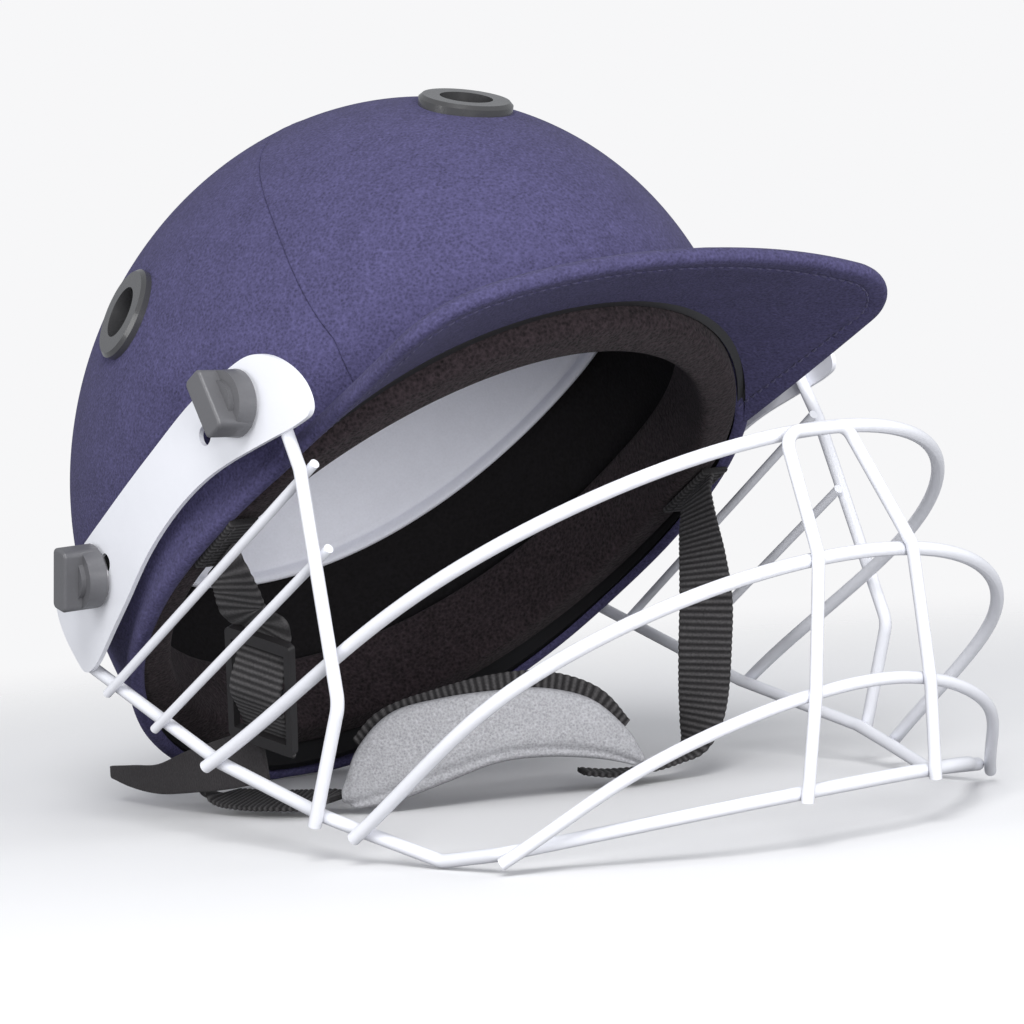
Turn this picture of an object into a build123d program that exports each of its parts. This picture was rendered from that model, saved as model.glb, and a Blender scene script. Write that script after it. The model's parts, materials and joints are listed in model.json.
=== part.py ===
# Cricket helmet with a steel face grille, in millimetres.
# It stands on the grille's lower corners and on the back of its rim, leaning back as it does on a table.
# X runs to the wearer's left, -Y to the front, +Z up. The origin is on the table, under the middle.
import math
import os

from build123d import *

os.makedirs("parts", exist_ok=True)

# Stance: where the shell's centre is over the table, and how far the helmet leans back
centre_back = 49.7
centre_up = 108.0
lean_angle = 29.3

# Shell, measured in the worn frame from its centre
shell_half_width = 107.0
shell_half_length = 135.0
shell_height = 122.0
skirt_depth = 75.0
skirt_draw = 16.0
cover_thickness = 1.0
cover_gap = 0.1
wall_thickness = 3.0
foam_thickness = 8.0
liner_thickness = 4.0
layer_gap = 0.3
overrun = 20.0

# Rim heights under the shell's centre, from front to nape
rim_front_drop = 12.0
rim_brow_drop = 21.7
rim_temple_drop = 26.6
rim_ear_drop = 31.5
rim_behind_ear_drop = 37.5
rim_nape_drop = 55.7
cover_rim_lift = 0.8
temple_place = -55.0
ear_place = 12.0
behind_ear_place = 62.0

# Seam of the two cloth panels, from ear to ear
seam_foot_place = -94.0
seam_middle_place = -80.0
seam_middle_height = 55.0
seam_top_place = -32.0
seam_gap = 0.6

# Peak
peak_reach = 36.5
peak_half_width = 92.0
peak_corner_radius = 26.0
peak_front_bow = 11.0
peak_front_drop = 25.0
peak_front_arch = 9.0
peak_root_rise = 9.3
peak_root_arch = 37.5
peak_board_thickness = 3.4
peak_root_place = -50.0

# Brow and rim band: a felt-covered pad all round inside the rim
band_thickness = 17.0
band_height = 30.0
band_front_drop = 20.0
band_temple_drop = 29.0
band_ear_drop = 30.0
band_nape_drop = 46.0
band_edge_radius = 4.0
liner_side_height = 34.0
liner_rear_height = 17.0

# Vents
vent_radius = 15.5
vent_hole_radius = 8.7
vent_barrel_radius = 11.0
vent_proud = 2.4
vent_barrel_length = 9.8
vent_ring_radius = 14.0
vent_ring_thickness = 1.5
vent_clearance = 0.15
front_vent_elevation = 36.8
side_vent_elevation = 33.0
side_vent_forward = 9.0

# Side plates, in the worn frame; each follows a wide arc in plan
plate_front_place = -106.7
plate_rear_place = 67.2
plate_bottom_drop = 31.9
plate_top_rise = 2.8
plate_thickness = 1.6
plate_widest_place = -5.0
plate_widest_spread = 110.5
plate_plan_radius = 640.0

# Knobs, screws and what they pass through
front_knob_place = -77.7
rear_knob_place = 28.9
knob_drop = 10.6
knob_radius = 10.4
knob_base_height = 6.0
knob_wing_length = 20.4
knob_wing_width = 8.5
knob_wing_height = 6.5
knob_wing_round = 2.0
knob_hub_radius = 7.0
knob_draft = 4.0
front_wing_angle = 2.0
rear_wing_angle = -44.0
screw_radius = 2.5
screw_clearance = 0.08
screw_fit = 0.02
screw_tip_proud = 2.5
hole_clearance = 0.6
thread_pitch = 0.8
knob_turns = 4
washer_radius = 9.0
washer_thickness = 1.2
spacer_radius = 7.0
nut_radius = 8.0
nut_flange_thickness = 1.5
nut_barrel_radius = 4.2
recess_depth = 7.0
touch_gap = 0.05
spare_hole_radius = 3.1
spare_hole_step = 20.5
spare_hole_drop = 9.5
slot_length = 26.0
slot_ahead = 11.4
slot_width = 6.2

# Grille wires: half is the distance from the middle, forward and back are from the origin
wire_radius = 2.05
staple_radius = 1.85
lattice_radius = 1.5
foot_lap = 0.4
bend_radius = 9.0
tip_half = 103.1
tip_back = 92.3
tip_up = 53.8
side_half = 104.9
side_back = 8.5
side_up = 26.0
foot_forward = 51.0
foot_up = 13.0
knee_half = 101.4
knee_forward = 68.0
knee_up = 8.8
heel_half = 95.0
heel_forward = 95.5
heel_up = 1.92
toe_half = 91.5
toe_forward = 122.0
toe_up = 5.6
bar_forward = 173.5
bar_up = 16.5
bar_shares = [(0.86, 0.20), (0.62, 0.62), (0.30, 0.93)]
hoop_overrun = 1.6
lower_foot = (93.5, -125.0, 4.0)
lower_front = (-177.0, 45.0)
lower_shares = [(0.88, 0.25), (0.74, 0.53), (0.49, 0.80), (0.24, 0.95)]
middle_half = 101.0
middle_front = (-176.5, 81.5)
middle_straight_share = 0.31
upper_half = 102.3
upper_front = (-168.5, 117.0)
upper_straight_share = 0.33
curve_steps = 4

# Front staple, one wire over the front of the hoops
staple_foot = (24.4, -174.6, 13.6)
staple_lower = (21.7, -178.4, 43.0)
staple_upper = (17.6, -179.4, 82.0)
staple_top = (11.5, -172.7, 117.0)
staple_top_shift = -9.5
staple_bend = 5.0

# Uprights beside the face
upright_top = (101.1, -36.0, 136.5)
upright_collar = (101.6, -47.0, 116.0)
upright_bend = (107.4, -66.6, 47.5)
upright_foot = (109.1, -50.6, 11.0)

# Lattice bars, from the side bar forward to the upright
upper_bar_foot = (107.3, 71.3, 46.8)
upper_bar_head = (97.9, -47.0, 116.0)
lower_bar_foot = (107.9, 40.6, 36.6)
lower_bar_head = (100.0, -54.2, 91.0)
lattice_overrun = 2.6

# Chin strap, near side: webbing, patch, buckle, tab; then elastic, cup and the far strap
strap_width = 20.0
strap_thickness = 1.8
elastic_width = 18.0
elastic_thickness = 2.0
patch_place = -26.0
patch_spread = 94.2
patch_length = 28.0
patch_width = 10.5
patch_thickness = 2.2
buckle_width = 26.0
buckle_height = 40.0
buckle_thickness = 3.0
buckle_bar = 4.0
buckle_round = 2.0
weave = 3.5
cup_thickness = 9.0
cup_gap = 0.5
cup_elastic_lift = 7.5


def turned(length, angle):
    return (length * math.cos(math.radians(angle)), length * math.sin(math.radians(angle)))


# Worn frame: +Y to the back of the head, +Z to the crown. Side views are drawn with (back, up).
back_share, up_share = turned(1, lean_angle)
worn = Plane(origin=(0, centre_back, centre_up), x_dir=(1, 0, 0), z_dir=(0, up_share, back_share))
side = Plane(origin=worn.origin, x_dir=worn.y_dir, z_dir=(1, 0, 0))
half_span = shell_half_width + overrun


def from_worn(x, back, up):
    return worn.from_local_coords(Vector(x, back, up))


def dome_solid(inset):
    """The shell's full shape, drawn in by inset: a half ellipse and a skirt, turned and narrowed."""
    with BuildPart() as dome:
        with BuildSketch(side):
            with BuildLine():
                reach = shell_half_length - inset
                top = shell_height - inset
                hem = (reach - skirt_draw, -skirt_depth)
                EllipticalCenterArc((0, 0), reach, top, start_angle=0, arc_size=90)
                TangentArc((reach, 0), hem, tangent=(0, -1))
                Polyline(hem, (0, -skirt_depth), (0, top))
            make_face()
        revolve(axis=Axis(worn.origin, worn.z_dir))
        scale(by=(shell_half_width / shell_half_length, 1, 1))
    return dome.part


def prism_above(line_points, half=half_span):
    """Everything above a line seen from the side, right across the helmet."""
    ceiling = shell_height + overrun
    with BuildPart() as prism:
        with BuildSketch(side):
            with BuildLine():
                Spline(*line_points)
                first, last = line_points[0], line_points[-1]
                Polyline(last, (last[0], ceiling), (first[0], ceiling), first)
            make_face()
        extrude(amount=half, both=True)
    return prism.part


front_limit = -(shell_half_length + peak_reach)
rear_limit = shell_half_length + overrun
rim_line = [
    (front_limit, -rim_front_drop),
    (seam_foot_place, -rim_brow_drop),
    (temple_place, -rim_temple_drop),
    (ear_place, -rim_ear_drop),
    (behind_ear_place, -rim_behind_ear_drop),
    (rear_limit, -rim_nape_drop),
]
band_line = [
    (front_limit, -band_front_drop),
    (temple_place, -band_temple_drop),
    (ear_place, -band_ear_drop),
    (rear_limit, -band_nape_drop),
]
band_top_line = [(back, up + band_height) for back, up in band_line]
foam_line = [(back, up + layer_gap) for back, up in band_top_line]
liner_line = [
    (front_limit, liner_side_height),
    (ear_place, liner_side_height),
    (rear_limit, liner_rear_height),
]

outer_dome = dome_solid(0)
cloth_dome = dome_solid(cover_thickness)
wall_dome = dome_solid(cover_thickness + cover_gap)
inner_dome = dome_solid(cover_thickness + wall_thickness)
foam_outset = cover_thickness + wall_thickness + layer_gap
foam_dome = dome_solid(foam_outset)
ring_dome = dome_solid(foam_outset + vent_ring_thickness)
liner_dome = dome_solid(foam_outset + foam_thickness)
cavity_dome = dome_solid(foam_outset + foam_thickness + liner_thickness)
band_dome = dome_solid(foam_outset + band_thickness)
above_rim = prism_above(rim_line)
above_cover_rim = prism_above([(back, up + cover_rim_lift) for back, up in rim_line])


# Peak: a board whose arch grows towards the shell, its outline seen from above
def peak_section(place, thickness):
    """The board's section across the helmet, at a place along it."""
    share = (place - front_limit) / (peak_root_place - front_limit)
    half_width = peak_half_width + overrun
    middle_up = share * (peak_root_rise + peak_front_drop) - peak_front_drop
    arch = peak_front_arch + share * (peak_root_arch - peak_front_arch)
    arch *= (half_width / peak_half_width) ** 2
    section_plane = Plane(origin=from_worn(0, place, middle_up), x_dir=(-1, 0, 0), z_dir=worn.y_dir)
    with BuildSketch(section_plane) as section:
        with BuildLine():
            over = thickness / 2
            ThreePointArc((-half_width, over - arch), (0, over), (half_width, over - arch))
            ThreePointArc((-half_width, -over - arch), (0, -over), (half_width, -over - arch))
            Line((-half_width, over - arch), (-half_width, -over - arch))
            Line((half_width, over - arch), (half_width, -over - arch))
        make_face()
    return section.sketch


def peak_solid(margin, thickness):
    with BuildPart() as sheet:
        add(peak_section(front_limit - overrun, thickness))
        add(peak_section(peak_root_place + overrun, thickness))
        loft(ruled=True)
        with BuildSketch(worn.offset(-shell_height)):
            with BuildLine():
                side_x = peak_half_width + margin
                front_y = front_limit - margin
                shoulder_y = front_y + peak_front_bow
                Line((-side_x, peak_root_place), (-side_x, shoulder_y))
                ThreePointArc((-side_x, shoulder_y), (0, front_y), (side_x, shoulder_y))
                Line((side_x, shoulder_y), (side_x, peak_root_place))
                Line((side_x, peak_root_place), (-side_x, peak_root_place))
            make_face()
            corners = vertices().sort_by(Axis.Y)[:2]
            fillet(corners, peak_corner_radius + margin)
        extrude(amount=2 * shell_height, mode=Mode.INTERSECT)
    return sheet.part


peak_core = peak_solid(-cover_thickness - cover_gap, peak_board_thickness)
peak_pocket = peak_solid(-cover_thickness, peak_board_thickness + 2 * cover_gap)
peak_skin = peak_solid(0, peak_board_thickness + 2 * (cover_gap + cover_thickness))
peak_clearing = peak_solid(cover_gap, peak_board_thickness + 2 * (2 * cover_gap + cover_thickness))


# Vent places: the crown's front one and one on each side
def vent_plane(x_sign, elevation, forward):
    """Plane on the shell's face, its normal outward, for a direction from the shell's centre."""
    level, rise = turned(1, elevation)
    ahead, across = turned(level, forward)
    if x_sign == 0:
        direction = Vector(0, -level, rise)
    else:
        direction = Vector(x_sign * ahead, -across, rise)
    reach = Vector(shell_half_width, shell_half_length, shell_height)
    scaled = Vector(direction.X / reach.X, direction.Y / reach.Y, direction.Z / reach.Z)
    spot = direction * (1 / scaled.length)
    normal = Vector(spot.X / reach.X**2, spot.Y / reach.Y**2, spot.Z / reach.Z**2).normalized()
    outward = worn.x_dir * normal.X + worn.y_dir * normal.Y + worn.z_dir * normal.Z
    return Plane(origin=from_worn(spot.X, spot.Y, spot.Z), z_dir=outward)


vent_planes = {
    "front": vent_plane(0, front_vent_elevation, 0),
    "right": vent_plane(-1, side_vent_elevation, side_vent_forward),
    "left": vent_plane(1, side_vent_elevation, side_vent_forward),
}


def rods(planes, radius, outward=overrun, inward=overrun):
    """Round bars along the normals of the planes."""
    with BuildPart() as bars:
        for spot in planes:
            with BuildSketch(spot.offset(outward)):
                Circle(radius)
            extrude(amount=-(outward + inward))
    return bars.part


vent_holes = rods(vent_planes.values(), vent_barrel_radius + vent_clearance)
vent_ring_holes = rods(vent_planes.values(), vent_ring_radius + vent_clearance)


# Side plate: its plan is one long arc, its outline is seen from the side
def plate_spread(place, inset=0):
    ahead = place - plate_widest_place
    return plate_widest_spread - plate_plan_radius + math.sqrt((plate_plan_radius - inset) ** 2 - ahead**2)


def plate_plane(x_sign, place, drop):
    """Plane on a plate's outer face, its normal outward, its x axis up the helmet."""
    turn = math.asin((place - plate_widest_place) / plate_plan_radius)
    outward = worn.x_dir * (x_sign * math.cos(turn)) + worn.y_dir * math.sin(turn)
    return Plane(
        origin=from_worn(x_sign * plate_spread(place), place, -drop),
        x_dir=worn.z_dir,
        z_dir=outward,
    )


knob_sides = {"right": -1, "left": 1}
knob_ends = {"front": front_knob_place, "rear": rear_knob_place}
knob_planes = {
    f"{hand}_{end}": plate_plane(x_sign, place, knob_drop)
    for hand, x_sign in knob_sides.items()
    for end, place in knob_ends.items()
}
nut_holes = rods(knob_planes.values(), nut_barrel_radius + vent_clearance, overrun, 2 * overrun)
nut_recesses = rods(knob_planes.values(), nut_radius + hole_clearance, overrun, 2 * overrun)
recess_floor = dome_solid(foam_outset + recess_depth)

plate_outline_shares = [
    (0.028, 0.026), (0.007, 0.061), (0.000, 0.176), (0.007, 0.395), (0.030, 0.605), (0.067, 0.795),
    (0.108, 0.902), (0.156, 0.945), (0.283, 1.000), (0.420, 0.983), (0.534, 0.971), (0.691, 0.963),
    (0.797, 0.968), (0.901, 0.974), (0.964, 0.954), (0.990, 0.847), (1.000, 0.565), (0.982, 0.216),
    (0.967, 0.069), (0.934, 0.003), (0.856, 0.020), (0.776, 0.084), (0.700, 0.150), (0.614, 0.245),
    (0.522, 0.314), (0.432, 0.343), (0.311, 0.314), (0.174, 0.179), (0.094, 0.086),
]
plate_length = plate_rear_place - plate_front_place
plate_height = plate_bottom_drop + plate_top_rise


def side_plate_solid():
    ends = (plate_front_place - overrun, plate_widest_place, plate_rear_place + overrun)
    with BuildPart() as plate:
        with BuildSketch(worn.offset(-shell_height)):
            with BuildLine():
                outer = [(-plate_spread(place), place) for place in ends]
                inner = [(-plate_spread(place, plate_thickness), place) for place in ends]
                ThreePointArc(*outer)
                ThreePointArc(*inner)
                Line(outer[0], inner[0])
                Line(outer[-1], inner[-1])
            make_face()
        extrude(amount=2 * shell_height)
        with BuildSketch(side):
            with BuildLine():
                Spline(
                    *[
                        (plate_front_place + along * plate_length, up * plate_height - plate_bottom_drop)
                        for along, up in plate_outline_shares
                    ],
                    periodic=True,
                )
            make_face()
        extrude(amount=-shell_half_length, mode=Mode.INTERSECT)
        with BuildSketch(knob_planes["right_front"].offset(overrun)):
            Circle(screw_radius + hole_clearance)
        extrude(amount=-2 * overrun, mode=Mode.SUBTRACT)
        with BuildSketch(plate_plane(-1, front_knob_place + spare_hole_step, spare_hole_drop).offset(overrun)):
            Circle(spare_hole_radius)
        extrude(amount=-2 * overrun, mode=Mode.SUBTRACT)
        slot_place = rear_knob_place - slot_ahead + slot_length / 2
        with BuildSketch(plate_plane(-1, slot_place, knob_drop).offset(overrun)):
            SlotOverall(slot_length, slot_width, rotation=90)
        extrude(amount=-2 * overrun, mode=Mode.SUBTRACT)
    return plate.part


# Hard shell: dome and peak board moulded in one
with BuildPart() as hard_shell:
    add(peak_core)
    add(wall_dome)
    add(inner_dome, mode=Mode.SUBTRACT)
    add(above_rim, mode=Mode.INTERSECT)
    add(peak_core)
    add(inner_dome, mode=Mode.SUBTRACT)
    add(vent_holes, mode=Mode.SUBTRACT)
    add(nut_holes, mode=Mode.SUBTRACT)


# Cloth cover: two crown panels that meet at the seam, and the peak's own cover
def seam_prism(ahead):
    shift = seam_gap / 2 if ahead else -seam_gap / 2
    line = [
        (seam_foot_place - shift, -skirt_depth),
        (seam_foot_place - shift, 0),
        (seam_middle_place - shift, seam_middle_height),
        (seam_top_place - shift, shell_height + overrun),
    ]
    limit = -half_span * 2 if ahead else half_span * 2
    with BuildPart() as prism:
        with BuildSketch(side):
            with BuildLine():
                Spline(*line[1:])
                Polyline(line[1], line[0], (limit, line[0][1]), (limit, line[-1][1]), line[-1])
            make_face()
        extrude(amount=half_span, both=True)
    return prism.part


def cover_panel(ahead):
    region = seam_prism(ahead)
    with BuildPart() as panel:
        add(outer_dome)
        add(cloth_dome, mode=Mode.SUBTRACT)
        add(above_cover_rim, mode=Mode.INTERSECT)
        add(region, mode=Mode.INTERSECT)
        add(peak_clearing, mode=Mode.SUBTRACT)
        add(vent_holes, mode=Mode.SUBTRACT)
        add(nut_holes, mode=Mode.SUBTRACT)
    return panel.part


with BuildPart() as front_cover_panel:
    add(cover_panel(True))

with BuildPart() as rear_cover_panel:
    add(cover_panel(False))

with BuildPart() as peak_cover:
    add(peak_skin)
    add(cloth_dome, mode=Mode.SUBTRACT)
    add(peak_pocket, mode=Mode.SUBTRACT)
    add(nut_holes, mode=Mode.SUBTRACT)


# Vents: a chamfered ring with a barrel, and a ring that holds it from inside
def vent_part(spot):
    with BuildPart() as vent:
        with BuildSketch(spot.offset(-vent_proud)):
            Circle(vent_radius)
        extrude(amount=2 * vent_proud)
        rim_edge = edges().group_by(Axis(spot.origin, spot.z_dir))[-1]
        chamfer(rim_edge, vent_proud / 2)
        add(outer_dome, mode=Mode.SUBTRACT)
        with BuildSketch(spot.offset(vent_proud / 2)):
            Circle(vent_barrel_radius)
        extrude(amount=-vent_barrel_length)
        with BuildSketch(spot.offset(overrun)):
            Circle(vent_hole_radius)
        extrude(amount=-2 * overrun, mode=Mode.SUBTRACT)
    return vent.part


vents = {}
for place, spot in vent_planes.items():
    with BuildPart() as vent:
        add(vent_part(spot))
    vents[place] = vent

with BuildPart() as vent_back_rings:
    for spot in vent_planes.values():
        with BuildSketch(spot.offset(overrun)):
            Circle(vent_ring_radius)
            Circle(vent_barrel_radius + vent_clearance, mode=Mode.SUBTRACT)
        extrude(amount=-2 * overrun)
    add(foam_dome, mode=Mode.INTERSECT)
    add(ring_dome, mode=Mode.SUBTRACT)

# Inside: foam lining, crown liner and rim band, with recesses for the nuts
with BuildPart() as recess_cutters:
    add(nut_recesses)
    add(recess_floor, mode=Mode.SUBTRACT)
recesses = recess_cutters.part
above_foam = prism_above(foam_line)
above_liner = prism_above(liner_line)
above_band = prism_above(band_line)
above_band_top = prism_above(band_top_line)

with BuildPart() as foam_lining:
    add(foam_dome)
    add(liner_dome, mode=Mode.SUBTRACT)
    add(above_foam, mode=Mode.INTERSECT)
    add(vent_ring_holes, mode=Mode.SUBTRACT)
    add(recesses, mode=Mode.SUBTRACT)

with BuildPart() as crown_liner:
    add(liner_dome)
    add(cavity_dome, mode=Mode.SUBTRACT)
    add(above_liner, mode=Mode.INTERSECT)

with BuildPart() as rim_band:
    add(foam_dome)
    add(band_dome, mode=Mode.SUBTRACT)
    add(above_band, mode=Mode.INTERSECT)
    add(above_band_top, mode=Mode.SUBTRACT)
    long_edges = edges().filter_by(lambda edge: edge.length > 2 * band_thickness)
    lower_edges = long_edges.sort_by(lambda edge: worn.to_local_coords(edge.center()).Z)[:4]
    fillet(lower_edges, band_edge_radius)
    add(recesses, mode=Mode.SUBTRACT)


# Side plates
with BuildPart() as right_side_plate:
    add(side_plate_solid())

with BuildPart() as left_side_plate:
    add(mirror(right_side_plate.part, about=Plane.YZ, mode=Mode.PRIVATE))


# Knobs: a round base and a wing on a screw; a loose washer under each
def knob_solid(spot, wing_angle):
    with BuildPart() as knob:
        with BuildSketch(spot.offset(washer_thickness)):
            Circle(knob_radius)
        extrude(amount=knob_base_height, taper=knob_draft)
        with BuildSketch(spot.offset(washer_thickness)):
            RectangleRounded(knob_wing_length, knob_wing_width, knob_wing_round, rotation=wing_angle)
            Circle(knob_hub_radius)
        extrude(amount=knob_base_height + knob_wing_height / 4)
        with BuildSketch(spot.offset(washer_thickness)):
            RectangleRounded(knob_wing_length, knob_wing_width, knob_wing_round, rotation=wing_angle)
        extrude(amount=knob_base_height + knob_wing_height)
        top = faces().sort_by(Axis(spot.origin, spot.z_dir))[-1]
        fillet(top.edges(), knob_wing_round / 2)
        with BuildSketch(spot):
            Circle(screw_radius + screw_fit)
        extrude(amount=knob_base_height + knob_wing_height / 2, mode=Mode.SUBTRACT)
    return knob.part


nut_face_dome = dome_solid(foam_outset + nut_flange_thickness)


def screw_solid(spot):
    """A shaft that ends just past the inner face of its nut."""
    line = Axis(spot.origin, -spot.z_dir)
    hits = [point for face in nut_face_dome.faces() for point, _ in face.find_intersection_points(line)]
    reach = min((point - spot.origin).length for point in hits) + screw_tip_proud
    with BuildPart() as screw:
        with BuildSketch(spot.offset(-reach)):
            Circle(screw_radius)
        extrude(amount=reach + knob_base_height + knob_wing_height / 2)
        tip = edges().sort_by(Axis(spot.origin, spot.z_dir))[0]
        chamfer(tip, screw_radius / 4)
    return screw.part


def washer_solid(spot):
    with BuildPart() as washer:
        with BuildSketch(spot.offset(touch_gap)):
            Circle(washer_radius)
            Circle(screw_radius + hole_clearance, mode=Mode.SUBTRACT)
        extrude(amount=washer_thickness - 2 * touch_gap)
    return washer.part


wing_angles = {"front": front_wing_angle, "rear": rear_wing_angle}
knobs = {}
screws = {}
washers = {}
for place, spot in knob_planes.items():
    hand, end = place.split("_")
    angle = wing_angles[end] * -knob_sides[hand]
    with BuildPart() as knob:
        add(knob_solid(spot, angle))
    with BuildPart() as screw:
        add(screw_solid(spot))
    with BuildPart() as washer:
        add(washer_solid(spot))
    knobs[place], screws[place], washers[place] = knob, screw, washer

# Spacers between the plates and the shell, and the nuts inside it
with BuildPart() as spacers:
    for spot in knob_planes.values():
        with BuildSketch(spot.offset(-plate_thickness - touch_gap)):
            Circle(spacer_radius)
            Circle(screw_radius + hole_clearance, mode=Mode.SUBTRACT)
        extrude(amount=-2 * overrun)
    add(outer_dome, mode=Mode.SUBTRACT)
    add(peak_skin, mode=Mode.SUBTRACT)

with BuildPart() as thread_nuts:
    for spot in knob_planes.values():
        with BuildSketch(spot.offset(overrun)):
            Circle(nut_radius)
            Circle(screw_radius + screw_clearance, mode=Mode.SUBTRACT)
        extrude(amount=-3 * overrun)
    add(foam_dome, mode=Mode.INTERSECT)
    add(nut_face_dome, mode=Mode.SUBTRACT)
    for spot in knob_planes.values():
        with BuildSketch(spot.offset(-plate_thickness)):
            Circle(nut_barrel_radius)
            Circle(screw_radius + screw_clearance, mode=Mode.SUBTRACT)
        extrude(amount=-2 * overrun, mode=Mode.ADD)
    add(wall_dome, mode=Mode.INTERSECT)
    add(nut_face_dome, mode=Mode.SUBTRACT)


# Grille: every wire is a circle swept along its bent centre line
def wire_solid(path, radius):
    with BuildPart() as bar:
        with BuildSketch(Plane(origin=path @ 0, z_dir=path % 0)):
            Circle(radius)
        sweep(path=path)
    return bar.part


def hoop_point(half, foot, front, across, share):
    """A point of a hoop that lies in the plane from its foot to its front."""
    back = foot[0] + (front[0] - foot[0]) * share
    up = foot[1] + (front[1] - foot[1]) * share
    return (half * across, back, up)


def corner_arc(before, corner, after, radius):
    """Start, middle and end of the arc that rounds a corner of three points."""
    first = (Vector(before) - Vector(corner)).normalized()
    second = (Vector(after) - Vector(corner)).normalized()
    half_angle = math.acos(first.dot(second)) / 2
    setback = radius / math.tan(half_angle)
    middle_way = (first + second).normalized()
    middle = Vector(corner) + middle_way * (radius / math.sin(half_angle) - radius)
    return Vector(corner) + first * setback, middle, Vector(corner) + second * setback


def bent_run(points, radius):
    """Straight runs joined by round bends, without the last run; and the place where it stops."""
    pieces = []
    at = Vector(points[0])
    for before, corner, after in zip(points, points[1:], points[2:]):
        start, middle, end = corner_arc(before, corner, after, radius)
        pieces.append(Edge.make_line(at, start))
        pieces.append(Edge.make_three_point_arc(start, middle, end))
        at = end
    return pieces, at


def bent_wire(points, bend, radius):
    pieces, at = bent_run(points, bend)
    pieces.append(Edge.make_line(at, Vector(points[-1])))
    return wire_solid(Wire(pieces), radius)


def flipped(spot):
    here = Vector(spot)
    return Vector(-here.X, here.Y, here.Z)


def extended(spot, other, amount):
    """The spot moved by amount away from the other."""
    return Vector(spot) + (Vector(spot) - Vector(other)).normalized() * amount


# Main frame: both side bars and the front bar, one wire
toe = (-toe_forward, toe_up)
bar_front = (-bar_forward, bar_up)
bow_half = [hoop_point(toe_half, toe, bar_front, -across, share) for across, share in bar_shares]
frame_run = [
    (-tip_half, tip_back, tip_up),
    (-side_half, side_back, side_up),
    (-side_half, -foot_forward, foot_up),
    (-knee_half, -knee_forward, knee_up),
    (-heel_half, -heel_forward, heel_up),
    (-toe_half, -toe_forward, toe_up),
    bow_half[0],
]
frame_pieces, bow_start = bent_run(frame_run, bend_radius)
bow_way = (Vector(bow_half[0]) - bow_start).normalized()
bow = Edge.make_spline(
    [bow_start, *[Vector(spot) for spot in bow_half], Vector(0, *bar_front)]
    + [flipped(spot) for spot in reversed(bow_half)]
    + [flipped(bow_start)],
    tangents=[bow_way, Vector(bow_way.X, -bow_way.Y, -bow_way.Z)],
)
with BuildPart() as main_frame:
    mirrored_pieces = [piece.mirror(Plane.YZ) for piece in frame_pieces]
    add(wire_solid(Wire(frame_pieces + [bow] + mirrored_pieces), wire_radius))


# Hoops: each lies in a plane from its feet on the frame to its front
def hoop_solid(right_half, radius):
    points = [Vector(spot) for spot in right_half]
    start = extended(points[0], points[1], hoop_overrun)
    points = [start] + points[1:]
    return wire_solid(Wire([Edge.make_spline(points + [flipped(spot) for spot in reversed(points[:-1])])]), radius)


def curved_hoop(half, foot_half, foot, front, straight_share):
    """A straight side, then a quarter of an ellipse to the front."""
    points = [(-foot_half, *foot)]
    for step in range(curve_steps + 1):
        level, rise = turned(1, 90 * step / curve_steps)
        share = straight_share + (1 - straight_share) * rise
        points.append(hoop_point(half, foot, front, -level, share))
    return hoop_solid(points, wire_radius)


side_foot_half = side_half + 2 * wire_radius + foot_lap
knee_foot_half = knee_half + 2 * wire_radius + foot_lap
with BuildPart() as upper_hoop:
    add(curved_hoop(upper_half, side_foot_half, (side_back, side_up), upper_front, upper_straight_share))

with BuildPart() as middle_hoop:
    add(curved_hoop(middle_half, knee_foot_half, (-knee_forward, knee_up), middle_front, middle_straight_share))

with BuildPart() as lower_hoop:
    lower_points = [flipped(lower_foot)]
    for across, share in lower_shares:
        lower_points.append(hoop_point(lower_foot[0], lower_foot[1:], lower_front, -across, share))
    lower_points.append((0, *lower_front))
    add(hoop_solid(lower_points, staple_radius))

with BuildPart() as front_staple:
    shifted = [(x + staple_top_shift, staple_top[1], staple_top[2]) for x in (-staple_top[0], staple_top[0])]
    staple_run = [flipped(spot) for spot in (staple_foot, staple_lower, staple_upper)]
    staple_run += shifted + [staple_upper, staple_lower, staple_foot]
    add(bent_wire(staple_run, staple_bend, staple_radius))

with BuildPart() as right_upright:
    upright_run = [flipped(spot) for spot in (upright_top, upright_collar, upright_bend, upright_foot)]
    add(bent_wire(upright_run, bend_radius, wire_radius))

with BuildPart() as left_upright:
    add(mirror(right_upright.part, about=Plane.YZ, mode=Mode.PRIVATE))


def lattice_bar(foot, head):
    start = extended(foot, head, lattice_overrun)
    end = extended(head, foot, lattice_overrun)
    return wire_solid(Wire([Edge.make_line(start, end)]), lattice_radius)


with BuildPart() as left_upper_bar:
    add(lattice_bar(upper_bar_foot, upper_bar_head))

with BuildPart() as left_lower_bar:
    add(lattice_bar(lower_bar_foot, lower_bar_head))

with BuildPart() as right_upper_bar:
    add(mirror(left_upper_bar.part, about=Plane.YZ, mode=Mode.PRIVATE))

with BuildPart() as right_lower_bar:
    add(mirror(left_lower_bar.part, about=Plane.YZ, mode=Mode.PRIVATE))


# Straps: flat bands lofted through stations of a place, the way across the band, and a width share
def band_solid(stations, width, thickness):
    with BuildPart() as strap:
        for index, (spot, across, share) in enumerate(stations):
            before = Vector(stations[max(index - 1, 0)][0])
            after = Vector(stations[min(index + 1, len(stations) - 1)][0])
            way = (after - before).normalized()
            wide = Vector(across) - way * Vector(across).dot(way)
            with BuildSketch(Plane(origin=spot, x_dir=wide, z_dir=way)):
                Rectangle(width * share, thickness)
        loft()
    return strap.part


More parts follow.
